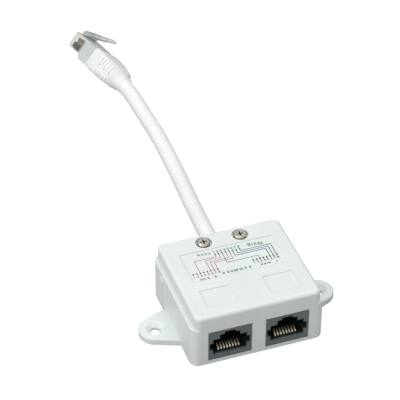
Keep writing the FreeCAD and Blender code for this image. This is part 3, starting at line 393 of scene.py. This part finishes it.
def tinted(tree, shader, colour, spread, scale):
    """Slow drift of a colour over the piece."""
    noise = tree.nodes.new("ShaderNodeTexNoise")
    set_inputs(noise, {"Scale": scale, "Detail": 2.0, "Roughness": 0.5})
    tree.links.new(object_coordinates(tree), noise.inputs["Vector"])
    ramp = tree.nodes.new("ShaderNodeValToRGB")
    low, high = ramp.color_ramp.elements
    low.position, high.position = 0.3, 0.7
    low.color = rgba([c * (1.0 - spread) for c in colour])
    high.color = rgba([min(1.0, c * (1.0 + spread)) for c in colour])
    tree.links.new(noise.outputs["Fac"], ramp.inputs["Fac"])
    tree.links.new(ramp.outputs["Color"], shader.inputs["Base Color"])


def between(tree, value, start, end, first, last):
    """Number that goes from first to last while the value goes from start to end."""
    slope = tree.nodes.new("ShaderNodeMapRange")
    set_inputs(slope, {"From Min": start, "From Max": end, "To Min": first, "To Max": last})
    tree.links.new(value, slope.inputs["Value"])
    return slope.outputs["Result"]


def plastic(name, colour, roughness, depth=0.000004, edge=0.0):
    material, tree, shader = new_material(name)
    set_inputs(shader, {"Roughness": roughness, "IOR": 1.49})
    tinted(tree, shader, colour, spread=0.02, scale=60.0)
    grain(tree, shader, scale=2600.0, depth=depth, edge=edge)
    return material


def metal(name, colour, roughness):
    material, tree, shader = new_material(name)
    set_inputs(shader, {"Roughness": roughness, "Metallic": 1.0})
    tinted(tree, shader, colour, spread=0.06, scale=500.0)
    grain(tree, shader, scale=5000.0, depth=0.000003, edge=0.00005)
    return material


def printing_ink(name, colour):
    material, tree, shader = new_material(name)
    set_inputs(shader, {"Roughness": 0.5, "IOR": 1.45})
    tinted(tree, shader, colour, spread=0.08, scale=900.0)
    return material


def insulation(name, base, stripe):
    """Coloured insulation, with a second colour in rings for a striped conductor."""
    material, tree, shader = new_material(name)
    set_inputs(shader, {"Roughness": 0.38, "IOR": 1.5})
    if stripe is None:
        tinted(tree, shader, base, spread=0.05, scale=300.0)
    else:
        wave = tree.nodes.new("ShaderNodeTexWave")
        wave.bands_direction = "DIAGONAL"
        set_inputs(wave, {"Scale": 160.0, "Distortion": 0.0, "Detail": 0.0})
        tree.links.new(object_coordinates(tree), wave.inputs["Vector"])
        ramp = tree.nodes.new("ShaderNodeValToRGB")
        ramp.color_ramp.interpolation = "CONSTANT"
        first, second = ramp.color_ramp.elements
        first.color, second.color = rgba(base), rgba(stripe)
        second.position = 0.62
        tree.links.new(wave.outputs["Fac"], ramp.inputs["Fac"])
        tree.links.new(ramp.outputs["Color"], shader.inputs["Base Color"])
    grain(tree, shader, scale=3000.0, depth=0.000002)
    return material


def clear_plastic(name, colour, behind, nose):
    """Clear plastic with one opacity behind the nose and one at it, and dense at its edges."""
    material, tree, shader = new_material(name)
    set_inputs(shader, {"Roughness": 0.2, "IOR": 1.45})
    axis = PLUG_PLACE.to_3x3() @ Vector((0, 1, 0))
    tip = axis.dot(PLUG_PLACE.translation)
    start, end = [tip + place for place in MILKY_TO_CLEAR]
    along = tree.nodes.new("ShaderNodeVectorMath")
    along.operation = "DOT_PRODUCT"
    along.inputs[1].default_value = axis
    tree.links.new(object_coordinates(tree), along.inputs[0])
    place = along.outputs["Value"]
    tone = tree.nodes.new("ShaderNodeVectorMath")
    tone.operation = "SCALE"
    tone.inputs[0].default_value = colour
    tree.links.new(between(tree, place, start, end, 1.0, NOSE_SHARE), tone.inputs["Scale"])
    tree.links.new(tone.outputs["Vector"], shader.inputs["Base Color"])
    rim = tree.nodes.new("ShaderNodeLayerWeight")
    rim.inputs["Blend"].default_value = 0.4
    dense = tree.nodes.new("ShaderNodeMath")
    dense.operation = "MAXIMUM"
    tree.links.new(rim.outputs["Facing"], dense.inputs[0])
    tree.links.new(between(tree, place, start, end, behind, nose), dense.inputs[1])
    tree.links.new(dense.outputs["Value"], shader.inputs["Alpha"])
    grain(tree, shader, scale=900.0, depth=0.000003, edge=0.00012)
    return material


def floor_white():
    """Pale floor that the camera sees as plain white, also through clear pieces."""
    material, tree, shader = new_material("floor_white")
    set_inputs(shader, {"Base Color": rgba(FLOOR_COLOUR), "Roughness": 0.9})
    glow = tree.nodes.new("ShaderNodeEmission")
    set_inputs(glow, {"Color": rgba((1.0, 1.0, 1.0)), "Strength": FLOOR_BRIGHT})
    path = tree.nodes.new("ShaderNodeLightPath")
    mix = tree.nodes.new("ShaderNodeMixShader")
    seen = tree.nodes.new("ShaderNodeMath")
    seen.operation = "MAXIMUM"
    tree.links.new(path.outputs["Is Camera Ray"], seen.inputs[0])
    tree.links.new(path.outputs["Is Transmission Ray"], seen.inputs[1])
    tree.links.new(seen.outputs["Value"], mix.inputs["Fac"])
    tree.links.new(shader.outputs["BSDF"], mix.inputs[1])
    tree.links.new(glow.outputs["Emission"], mix.inputs[2])
    tree.links.new(mix.outputs["Shader"], tree.nodes["Material Output"].inputs["Surface"])
    return material


def darker_inside(material, axis, face, shade):
    """Paint shade on a piece along an axis, darker from its face inwards."""
    start, end, share = shade
    tree = material.node_tree
    shader = tree.nodes["Principled BSDF"]
    tone = shader.inputs["Base Color"].links[0].from_socket
    parts = tree.nodes.new("ShaderNodeSeparateXYZ")
    tree.links.new(object_coordinates(tree), parts.inputs["Vector"])
    depth = between(tree, parts.outputs[axis], face + start, face + end, 1.0, share)
    dim = tree.nodes.new("ShaderNodeVectorMath")
    dim.operation = "SCALE"
    tree.links.new(tone, dim.inputs["Vector"])
    tree.links.new(depth, dim.inputs["Scale"])
    tree.links.new(dim.outputs["Vector"], shader.inputs["Base Color"])


def paint_node(name, material):
    """Give a CAD node its material."""
    node = NODES[name]
    node.data.materials.clear()
    node.data.materials.append(material)


# Meshes
def add_piece(name, mesh, material, replaced=(), smooth=30.0):
    """Link a finished mesh at the origin and hand it to the frame."""
    piece = bpy.data.objects.new(name, mesh)
    bpy.context.scene.collection.objects.link(piece)
    if material is not None:
        mesh.materials.clear()
        mesh.materials.append(material)
    if smooth:
        mesh.shade_smooth()
        mesh.set_sharp_from_angle(angle=math.radians(smooth))
    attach(piece, "root")
    if replaced:
        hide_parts(*replaced)
    return piece


def mesh_from(name, build):
    """Run build on a new bmesh and return the mesh."""
    data = bpy.data.meshes.new(name)
    bm = bmesh.new()
    build(bm)
    bmesh.ops.recalc_face_normals(bm, faces=bm.faces)
    bm.to_mesh(data)
    bm.free()
    return data


def plain_mesh(holder):
    """Mesh of an object as its modifiers or its font leave it."""
    graph = bpy.context.evaluated_depsgraph_get()
    graph.update()
    return bpy.data.meshes.new_from_object(holder.evaluated_get(graph), depsgraph=graph)


def add_box(bm, low, high):
    """Box between two corners."""
    made = bmesh.ops.create_cube(bm, size=1.0)["verts"]
    middle = (Vector(low) + Vector(high)) / 2
    size = Vector(high) - Vector(low)
    for vert in made:
        vert.co = middle + Vector([vert.co[i] * size[i] for i in range(3)])


def loft(bm, rings, capped=True):
    """Skin between rings of points with the same count."""
    rows = [[bm.verts.new(p) for p in ring] for ring in rings]
    count = len(rows[0])
    for a, b in zip(rows, rows[1:]):
        for i in range(count):
            j = (i + 1) % count
            bm.faces.new((a[i], a[j], b[j], b[i]))
    if capped:
        bm.faces.new(list(reversed(rows[0])))
        bm.faces.new(rows[-1])


def smooth_curve(name, points, radius, steps=12, sides=8):
    """NURBS tube through a chain of control points."""
    data = bpy.data.curves.new(name, "CURVE")
    data.dimensions = "3D"
    data.bevel_depth = radius
    data.bevel_resolution = sides
    data.resolution_u = steps
    data.use_fill_caps = True
    spline = data.splines.new("NURBS")
    spline.points.add(len(points) - 1)
    for point, place in zip(spline.points, points):
        point.co = (*place, 1.0)
    spline.order_u = 3
    spline.use_endpoint_u = True
    curve = bpy.data.objects.new(name, data)
    bpy.context.scene.collection.objects.link(curve)
    return curve


# Repeats, as a node group
def repeat_group():
    """Copies of a mesh along a line, made real and given a material."""
    tree = bpy.data.node_groups.new("Splitter Repeat", "GeometryNodeTree")
    sockets = tree.interface
    sockets.new_socket("Mesh", in_out="INPUT", socket_type="NodeSocketGeometry")
    sockets.new_socket("Count", in_out="INPUT", socket_type="NodeSocketInt")
    sockets.new_socket("Step", in_out="INPUT", socket_type="NodeSocketVector")
    sockets.new_socket("Finish", in_out="INPUT", socket_type="NodeSocketMaterial")
    sockets.new_socket("Mesh", in_out="OUTPUT", socket_type="NodeSocketGeometry")
    source = tree.nodes.new("NodeGroupInput")
    line = tree.nodes.new("GeometryNodeMeshLine")
    line.mode = "OFFSET"
    copies = tree.nodes.new("GeometryNodeInstanceOnPoints")
    real = tree.nodes.new("GeometryNodeRealizeInstances")
    finish = tree.nodes.new("GeometryNodeSetMaterial")
    result = tree.nodes.new("NodeGroupOutput")
    for start, end in (
        (source.outputs["Count"], line.inputs["Count"]),
        (source.outputs["Step"], line.inputs["Offset"]),
        (line.outputs["Mesh"], copies.inputs["Points"]),
        (source.outputs["Mesh"], copies.inputs["Instance"]),
        (copies.outputs["Instances"], real.inputs["Geometry"]),
        (real.outputs["Geometry"], finish.inputs["Geometry"]),
        (source.outputs["Finish"], finish.inputs["Material"]),
        (finish.outputs["Geometry"], result.inputs["Mesh"]),
    ):
        tree.links.new(start, end)
    return tree


def repeat(mesh, count, step, material, place):
    """Plain mesh with count copies of mesh along step, moved to its place."""
    tree = bpy.data.node_groups.get("Splitter Repeat") or repeat_group()
    holder = bpy.data.objects.new("repeat", mesh)
    bpy.context.scene.collection.objects.link(holder)
    modifier = holder.modifiers.new("Repeat", "NODES")
    modifier.node_group = tree
    values = {"Count": count, "Step": Vector(step), "Finish": material}
    for item in tree.interface.items_tree:
        if item.in_out == "INPUT" and item.name in values:
            modifier[item.identifier] = values[item.name]
    made = plain_mesh(holder)
    holder.modifiers.clear()
    bpy.data.objects.remove(holder)
    made.transform(place)
    return made


# Pieces of the case
def wall_pad(bm, sign):
    """Shallow pad on one side wall."""
    low, high = sorted((sign * (SIDE_WALL - PAD_SUNK), sign * (SIDE_WALL + PAD_PROUD)))
    add_box(bm, (low, PAD_PLACE[0], PAD_HEIGHT[0]), (high, PAD_PLACE[1], PAD_HEIGHT[1]))
    bmesh.ops.bevel(bm, geom=bm.edges[:], offset=0.0001, segments=2, affect="EDGES")


def add_strip(bm, start, end, width, level, thick):
    """Flat printed line from start to end."""
    along = (Vector(end) - Vector(start)).normalized()
    side = Vector((-along.y, along.x)) * width / 2
    ring = [Vector(start) - side, Vector(end) - side, Vector(end) + side, Vector(start) + side]
    low = [bm.verts.new((p.x, p.y, level)) for p in ring]
    high = [bm.verts.new((p.x, p.y, level + thick)) for p in ring]
    bm.faces.new(high)
    bm.faces.new(list(reversed(low)))
    for i in range(4):
        j = (i + 1) % 4
        bm.faces.new((low[i], low[j], high[j], high[i]))


def print_strips(bm, lines, width, thick):
    """Printed lines, given by their start, end and width."""
    for start, end, share in lines:
        ends = [Vector(p) / MM_IN_METRE for p in (start, end)]
        add_strip(bm, *ends, share * width, PRINT_LEVEL, thick)


def print_lines():
    """Start, end and width of the label's lines, by their ink."""
    lines = {ink: [] for ink in INK_COLOURS}
    for ink, top_pin, level, row, pin in WIRES:
        source, end = PIN_X["top"][top_pin], PIN_X[row][pin]
        corners = ((source, WIRE_TOP), (source, level), (end, level), (end, WIRE_FOOT[row]))
        lines[ink] += [(near, far, WIRE_WIDTH[ink]) for near, far in zip(corners, corners[1:])]
    for row, pins, ink, high, low, width in TICKS:
        lines[ink] += [((PIN_X[row][pin], high), (PIN_X[row][pin], low), width) for pin in pins]
    for ink, level, tall, slope, words in WORDS:
        for start, end in words:
            middle = level + slope * (start - words[0][0])
            for stroke in range(round((end - start) / STROKE_PITCH)):
                x = start + STROKE_PITCH * stroke
                lines[ink].append(((x, middle - tall / 2), (x, middle + tall / 2), STROKE_WIDTH))
    return lines


def number_row(name, places, level, height, thick):
    """A row of pin numbers on the label, as one mesh."""
    row = bmesh.new()
    for number, x in places.items():
        text = bpy.data.curves.new(name, "FONT")
        text.body = str(number)
        text.size = height * FIGURE_SIZE
        text.align_x = "CENTER"
        text.resolution_u = 2
        text.offset = FIGURE_BOLD
        text.extrude = thick / 2
        holder = bpy.data.objects.new(name, text)
        bpy.context.scene.collection.objects.link(holder)
        figure = plain_mesh(holder)
        bpy.data.objects.remove(holder)
        bpy.data.curves.remove(text)
        foot = (x / MM_IN_METRE, (level - height / 2) / MM_IN_METRE, PRINT_LEVEL + thick / 2)
        figure.transform(Matrix.Translation(foot))
        row.from_mesh(figure)
        bpy.data.meshes.remove(figure)
    mesh = bpy.data.meshes.new(name)
    row.to_mesh(mesh)
    row.free()
    return mesh


# Pieces of the plug
def conductor_points(number, angle):
    """Way of a conductor from the lead's end to the nose."""
    across = (MIDDLE_NUMBER - number) * BLADE_PITCH
    turn = math.radians(angle)
    start = Vector((-RING_RADIUS * math.cos(turn), RING_PLACE, RING_RADIUS * math.sin(turn) - AXIS_DROP))
    points = (
        start,
        start + Vector((0, RING_STRAIGHT, 0)),
        Vector((across, ROW_START, ROW_LEVEL)),
        Vector((across, ROW_END, ROW_LEVEL)),
    )
    return [PLUG_PLACE @ point for point in points]


def plug_loft(bm, sections):
    """Straight-sided part of the clear plug."""
    rings = []
    for y, half, low, high in sections:
        corners = ((-half, low), (half, low), (half, high), (-half, high))
        rings.append([PLUG_PLACE @ Vector((x, y, z)) for x, z in corners])
    loft(bm, rings)


def bend(y):
    """How far the soft boot bends down with the lead."""
    past = max(0.0, -y - BEND_START) / BEND_LONG
    return Vector((-BEND_ASIDE * past, 0, -BEND_DOWN * past**BEND_POWER))


def boot_ring(y, half_x, half_z, corner):
    """Ring of a rounded rectangle round the boot's axis."""
    points = []
    for turn, (sx, sz) in enumerate(((1, 1), (-1, 1), (-1, -1), (1, -1))):
        for step in range(CORNER_STEPS + 1):
            angle = math.pi / 2 * (turn + step / CORNER_STEPS)
            x = sx * (half_x - corner) + corner * math.cos(angle)
            z = sz * (half_z - corner) + corner * math.sin(angle)
            points.append(PLUG_PLACE @ Vector((x, y, z - AXIS_DROP)) + bend(y))
    return points


def boot_skin(bm):
    """The boot, outside and inside, closed at both ends."""
    rings = [boot_ring(*section) for section in (*BOOT_OUTSIDE, *BOOT_INSIDE)]
    loft(bm, rings + [rings[0]], capped=False)
    bmesh.ops.remove_doubles(bm, verts=bm.verts, dist=1e-7)


def grip_rib(bm):
    """One grip rib, in two stretches, over a flat side."""
    for low, high in RIB_STRETCHES:
        rings = []
        for step in range(RIB_STEPS + 1):
            z = low + (high - low) * step / RIB_STEPS
            share = RIB_TIP if step in (0, RIB_STEPS) else 1.0
            rings.append([Vector((x * share, y * share, z)) for x, y in RIB_PROFILE])
        loft(bm, rings)


def boot_section(y):
    """Half width, half height and corner of the boot at a place along it."""
    for near, far in zip(BOOT_OUTSIDE, BOOT_OUTSIDE[1:]):
        if near[0] >= y >= far[0]:
            share = (near[0] - y) / (near[0] - far[0])
            return [a + (b - a) * share for a, b in zip(near[1:], far[1:])]
    return BOOT_OUTSIDE[0][1:]


def on_boot(place, sign):
    """Lay a point, given by its height over the boot's side, on the side."""
    half_x, half_z, corner = boot_section(place.y)
    past = abs(place.z) - (half_z - corner)
    turn = math.asin(max(0.0, min(1.0, past / corner)))
    x = half_x - corner + (corner + place.x) * math.cos(turn)
    z = math.copysign(1, place.z) * place.x * math.sin(turn) + place.z
    return PLUG_PLACE @ Vector((sign * x, place.y, z - AXIS_DROP)) + bend(place.y)


# Operators
class SPLITTER_OT_case(bpy.types.Operator):
    """Finish the shells, the board and the small pieces inside"""

    bl_idname = "splitter.case"
    bl_label = "Finish Case"

    def execute(self, context):
        case = context.scene.splitter_case
        white = plastic("case_white", case.colour, case.roughness, edge=case.edge)
        for name in ("base_shell", "top_cover"):
            paint_node(name, white)
        for side, sign in SIDES.items():
            pad = mesh_from(f"wall_pad_{side}", lambda bm: wall_pad(bm, sign))
            add_piece(f"wall_pad_{side}", pad, white)
        paint_node("circuit_board", plastic("board_green", BOARD_GREEN, roughness=0.3))
        paint_node("cable_tie", plastic("tie_nylon", TIE_NYLON, roughness=0.45))
        return {"FINISHED"}


class SPLITTER_OT_sockets(bpy.types.Operator):
    """Finish the sockets, their carriers, and the contacts of sockets and plug"""

    bl_idname = "splitter.sockets"
    bl_label = "Finish Sockets"

    def execute(self, context):
        socket = context.scene.splitter_socket
        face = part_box("socket_housing_left")[0].y
        dark = plastic("socket_grey", socket.colour, roughness=0.5, edge=0.0001)
        # Painted shade: the housings and carriers darker deeper inside the mouth
        darker_inside(dark, "Y", face, MOUTH_SHADE)
        gold = metal("contact_gold", socket.contact, roughness=0.4)
        # Painted shade: the contacts fade almost to black deeper inside the mouth
        darker_inside(gold, "Y", face, CONTACT_SHADE)
        blade = metal("blade_gold", BLADE_GOLD, roughness=0.35)
        for side in SIDES:
            paint_node(f"socket_housing_{side}", dark)
            paint_node(f"contact_carrier_{side}", dark)
            for number in NUMBERS:
                paint_node(f"socket_contact_{side}_{number}", gold)
        for number in NUMBERS:
            paint_node(f"plug_contact_{number}", blade)
        return {"FINISHED"}


class SPLITTER_OT_screws(bpy.types.Operator):
    """Finish the cover screws"""

    bl_idname = "splitter.screws"
    bl_label = "Finish Screws"

    def execute(self, context):
        steel = metal("screw_steel", SCREW_STEEL, roughness=0.36)
        # Painted shade: the screw darker below its top, in the cross recess and down the head's sides
        darker_inside(steel, "Z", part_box("cover_screw_left")[1].z, SCREW_SHADE)
        for side in SIDES:
            paint_node(f"cover_screw_{side}", steel)
        return {"FINISHED"}


class SPLITTER_OT_print(bpy.types.Operator):
    """Print the wiring diagram as plain lines, pin numbers and strokes"""

    bl_idname = "splitter.print"
    bl_label = "Add Print"

    def execute(self, context):
        settings = context.scene.splitter_print
        inks = {name: printing_ink(f"ink_{name}", colour) for name, colour in INK_COLOURS.items()}
        for name, lines in print_lines().items():
            strips = mesh_from(
                f"print_{name}", lambda bm: print_strips(bm, lines, settings.line, settings.ink),
            )
            add_piece(f"print_{name}", strips, inks[name], smooth=0)
        for row, (ink, _, _, level, height) in PIN_ROWS.items():
            figures = number_row(f"numbers_{row}", PIN_X[row], level, height, settings.ink)
            add_piece(f"numbers_{row}", figures, inks[ink], smooth=0)
        return {"FINISHED"}


class SPLITTER_OT_lead(bpy.types.Operator):
    """Lay the lead and its conductors"""

    bl_idname = "splitter.lead"
    bl_label = "Add Lead"

    def execute(self, context):
        lead = context.scene.splitter_lead
        cable = smooth_curve("lead_sleeve", LEAD_POINTS, lead.radius, steps=24, sides=12)
        cable.data.materials.append(plastic("lead_white", lead.colour, roughness=0.4, depth=0.000003))
        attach(cable, "root")
        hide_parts("cable_jacket")
        for number, (slot, angle, base, stripe) in zip(NUMBERS, CONDUCTORS):
            coat = insulation(f"insulation_{number}", base, stripe)
            paint_node(f"board_wire_{number}", coat)
            wire = smooth_curve(f"conductor_{number}", conductor_points(number, angle), lead.wire)
            wire.data.materials.append(coat)
            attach(wire, "root")
            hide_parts(f"plug_wire_{number}")
        return {"FINISHED"}


class SPLITTER_OT_plug(bpy.types.Operator):
    """Model the clear plug with its latch lever and the walls between its blades"""

    bl_idname = "splitter.plug"
    bl_label = "Add Plug"

    def execute(self, context):
        colour = context.scene.splitter_plug.clear
        for name, sections, behind, nose, tone in CLEAR_PARTS:
            clear = clear_plastic(f"{name}_clear", [c * tone for c in colour], behind, nose)
            mesh = mesh_from(name, lambda bm: plug_loft(bm, sections))
            add_piece(name, mesh, clear, ["plug_body"])

        wall = mesh_from("wall", lambda bm: add_box(bm, *WALL_CORNERS))
        # Painted shade: the walls near black, as they look through the clear nose
        wall_shade = plastic("plug_wall_painted_shade", PLUG_WALL_SHADE, roughness=0.3)
        first = PLUG_PLACE @ Matrix.Translation((-BLADE_PITCH * (WALL_COUNT - 1) / 2, 0, 0))
        walls = repeat(wall, WALL_COUNT, (BLADE_PITCH, 0, 0), wall_shade, first)
        add_piece("plug_walls", walls, None, ["plug_body"])
        return {"FINISHED"}


class SPLITTER_OT_boot(bpy.types.Operator):
    """Model the soft boot with its grip ribs, and join the plug to the lead"""

    bl_idname = "splitter.boot"
    bl_label = "Add Boot"

    def execute(self, context):
        plug = context.scene.splitter_plug
        colour = [BOOT_SHARE * c for c in context.scene.splitter_lead.colour]
        boot_white = plastic("boot_white", colour, roughness=0.5)
        add_piece("boot", mesh_from("boot", boot_skin), boot_white, ["plug_boot"], smooth=40.0)
        first = Matrix.Translation((0, FIRST_RIB, 0))
        for side in ("right", "left"):
            ribs = repeat(mesh_from("rib", grip_rib), plug.ribs, (0, -plug.pitch, 0), boot_white, first)
            for vert in ribs.vertices:
                vert.co = on_boot(vert.co, SIDES[side])
            # Known fault: both rows' faces point inwards, since the left row is the one to turn
            if side == "right":
                ribs.flip_normals()
            add_piece(f"boot_ribs_{side}", ribs, None)
        return {"FINISHED"}


class SPLITTER_OT_stage(bpy.types.Operator):
    """Set the floor, the lights and the camera"""

    bl_idname = "splitter.stage"
    bl_label = "Set Stage"

    def execute(self, context):
        scene = context.scene
        stage = scene.splitter_stage
        low = (-FLOOR_HALF, -FLOOR_HALF, -FLOOR_THICK)
        mesh = mesh_from("floor", lambda bm: add_box(bm, low, (FLOOR_HALF, FLOOR_HALF, 0)))
        floor = bpy.data.objects.new("floor", mesh)
        scene.collection.objects.link(floor)
        mesh.materials.append(floor_white())

        for name, place, size, share, colour in LIGHTS:
            light = bpy.data.lights.new(name, "AREA")
            light.size = size
            light.energy = stage.key * share
            light.color = colour
            lamp = bpy.data.objects.new(name, light)
            lamp.location = place
            lamp.rotation_euler = (-Vector(place)).to_track_quat("-Z", "Y").to_euler()
            scene.collection.objects.link(lamp)

        world = bpy.data.worlds.new("surround")
        world.use_nodes = True
        sky = world.node_tree.nodes["Background"]
        set_inputs(sky, {"Color": rgba(SKY_COLOUR), "Strength": SKY_BRIGHT})
        scene.world = world

        turn = Matrix.Rotation(stage.heading, 3, "Z") @ Matrix.Rotation(math.pi / 2 - stage.height, 3, "X")
        turn = turn @ Matrix.Rotation(math.radians(CAMERA_TILT), 3, "Z")
        camera = bpy.data.objects.new("camera", bpy.data.cameras.new("camera"))
        camera.data.lens = stage.lens
        camera.data.sensor_width = 36.0
        camera.data.clip_start = 0.01
        camera.location = CAMERA_PLACE
        camera.rotation_euler = turn.to_euler()
        scene.collection.objects.link(camera)
        scene.camera = camera
        scene.view_settings.view_transform = "Standard"
        return {"FINISHED"}


class SPLITTER_PT_panel(bpy.types.Panel):
    """Lists the splitter's settings and steps"""

    bl_idname = "SPLITTER_PT_panel"
    bl_label = "Splitter Adapter"
    bl_space_type = "VIEW_3D"
    bl_region_type = "UI"
    bl_category = "Splitter"

    def draw(self, context):
        for name, group in SETTINGS.items():
            box = self.layout.box()
            settings = getattr(context.scene, name)
            for key in group.__annotations__:
                box.prop(settings, key)
        for operator in OPERATORS:
            self.layout.operator(operator.bl_idname)


SETTINGS = {
    "splitter_case": CaseSettings,
    "splitter_socket": SocketSettings,
    "splitter_print": PrintSettings,
    "splitter_lead": LeadSettings,
    "splitter_plug": PlugSettings,
    "splitter_stage": StageSettings,
}
OPERATORS = (
    SPLITTER_OT_case,
    SPLITTER_OT_sockets,
    SPLITTER_OT_screws,
    SPLITTER_OT_print,
    SPLITTER_OT_lead,
    SPLITTER_OT_plug,
    SPLITTER_OT_boot,
    SPLITTER_OT_stage,
)
CLASSES = (*SETTINGS.values(), *OPERATORS, SPLITTER_PT_panel)


def register():
    for item in CLASSES:
        bpy.utils.register_class(item)
    for name, group in SETTINGS.items():
        setattr(bpy.types.Scene, name, PointerProperty(type=group))


def unregister():
    for name in SETTINGS:
        delattr(bpy.types.Scene, name)
    for item in reversed(CLASSES):
        bpy.utils.unregister_class(item)


def main():
    register()
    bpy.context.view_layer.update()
    for operator in OPERATORS:
        area, name = operator.bl_idname.split(".")
        getattr(getattr(bpy.ops, area), name)()


if __name__ == "__main__":
    main()
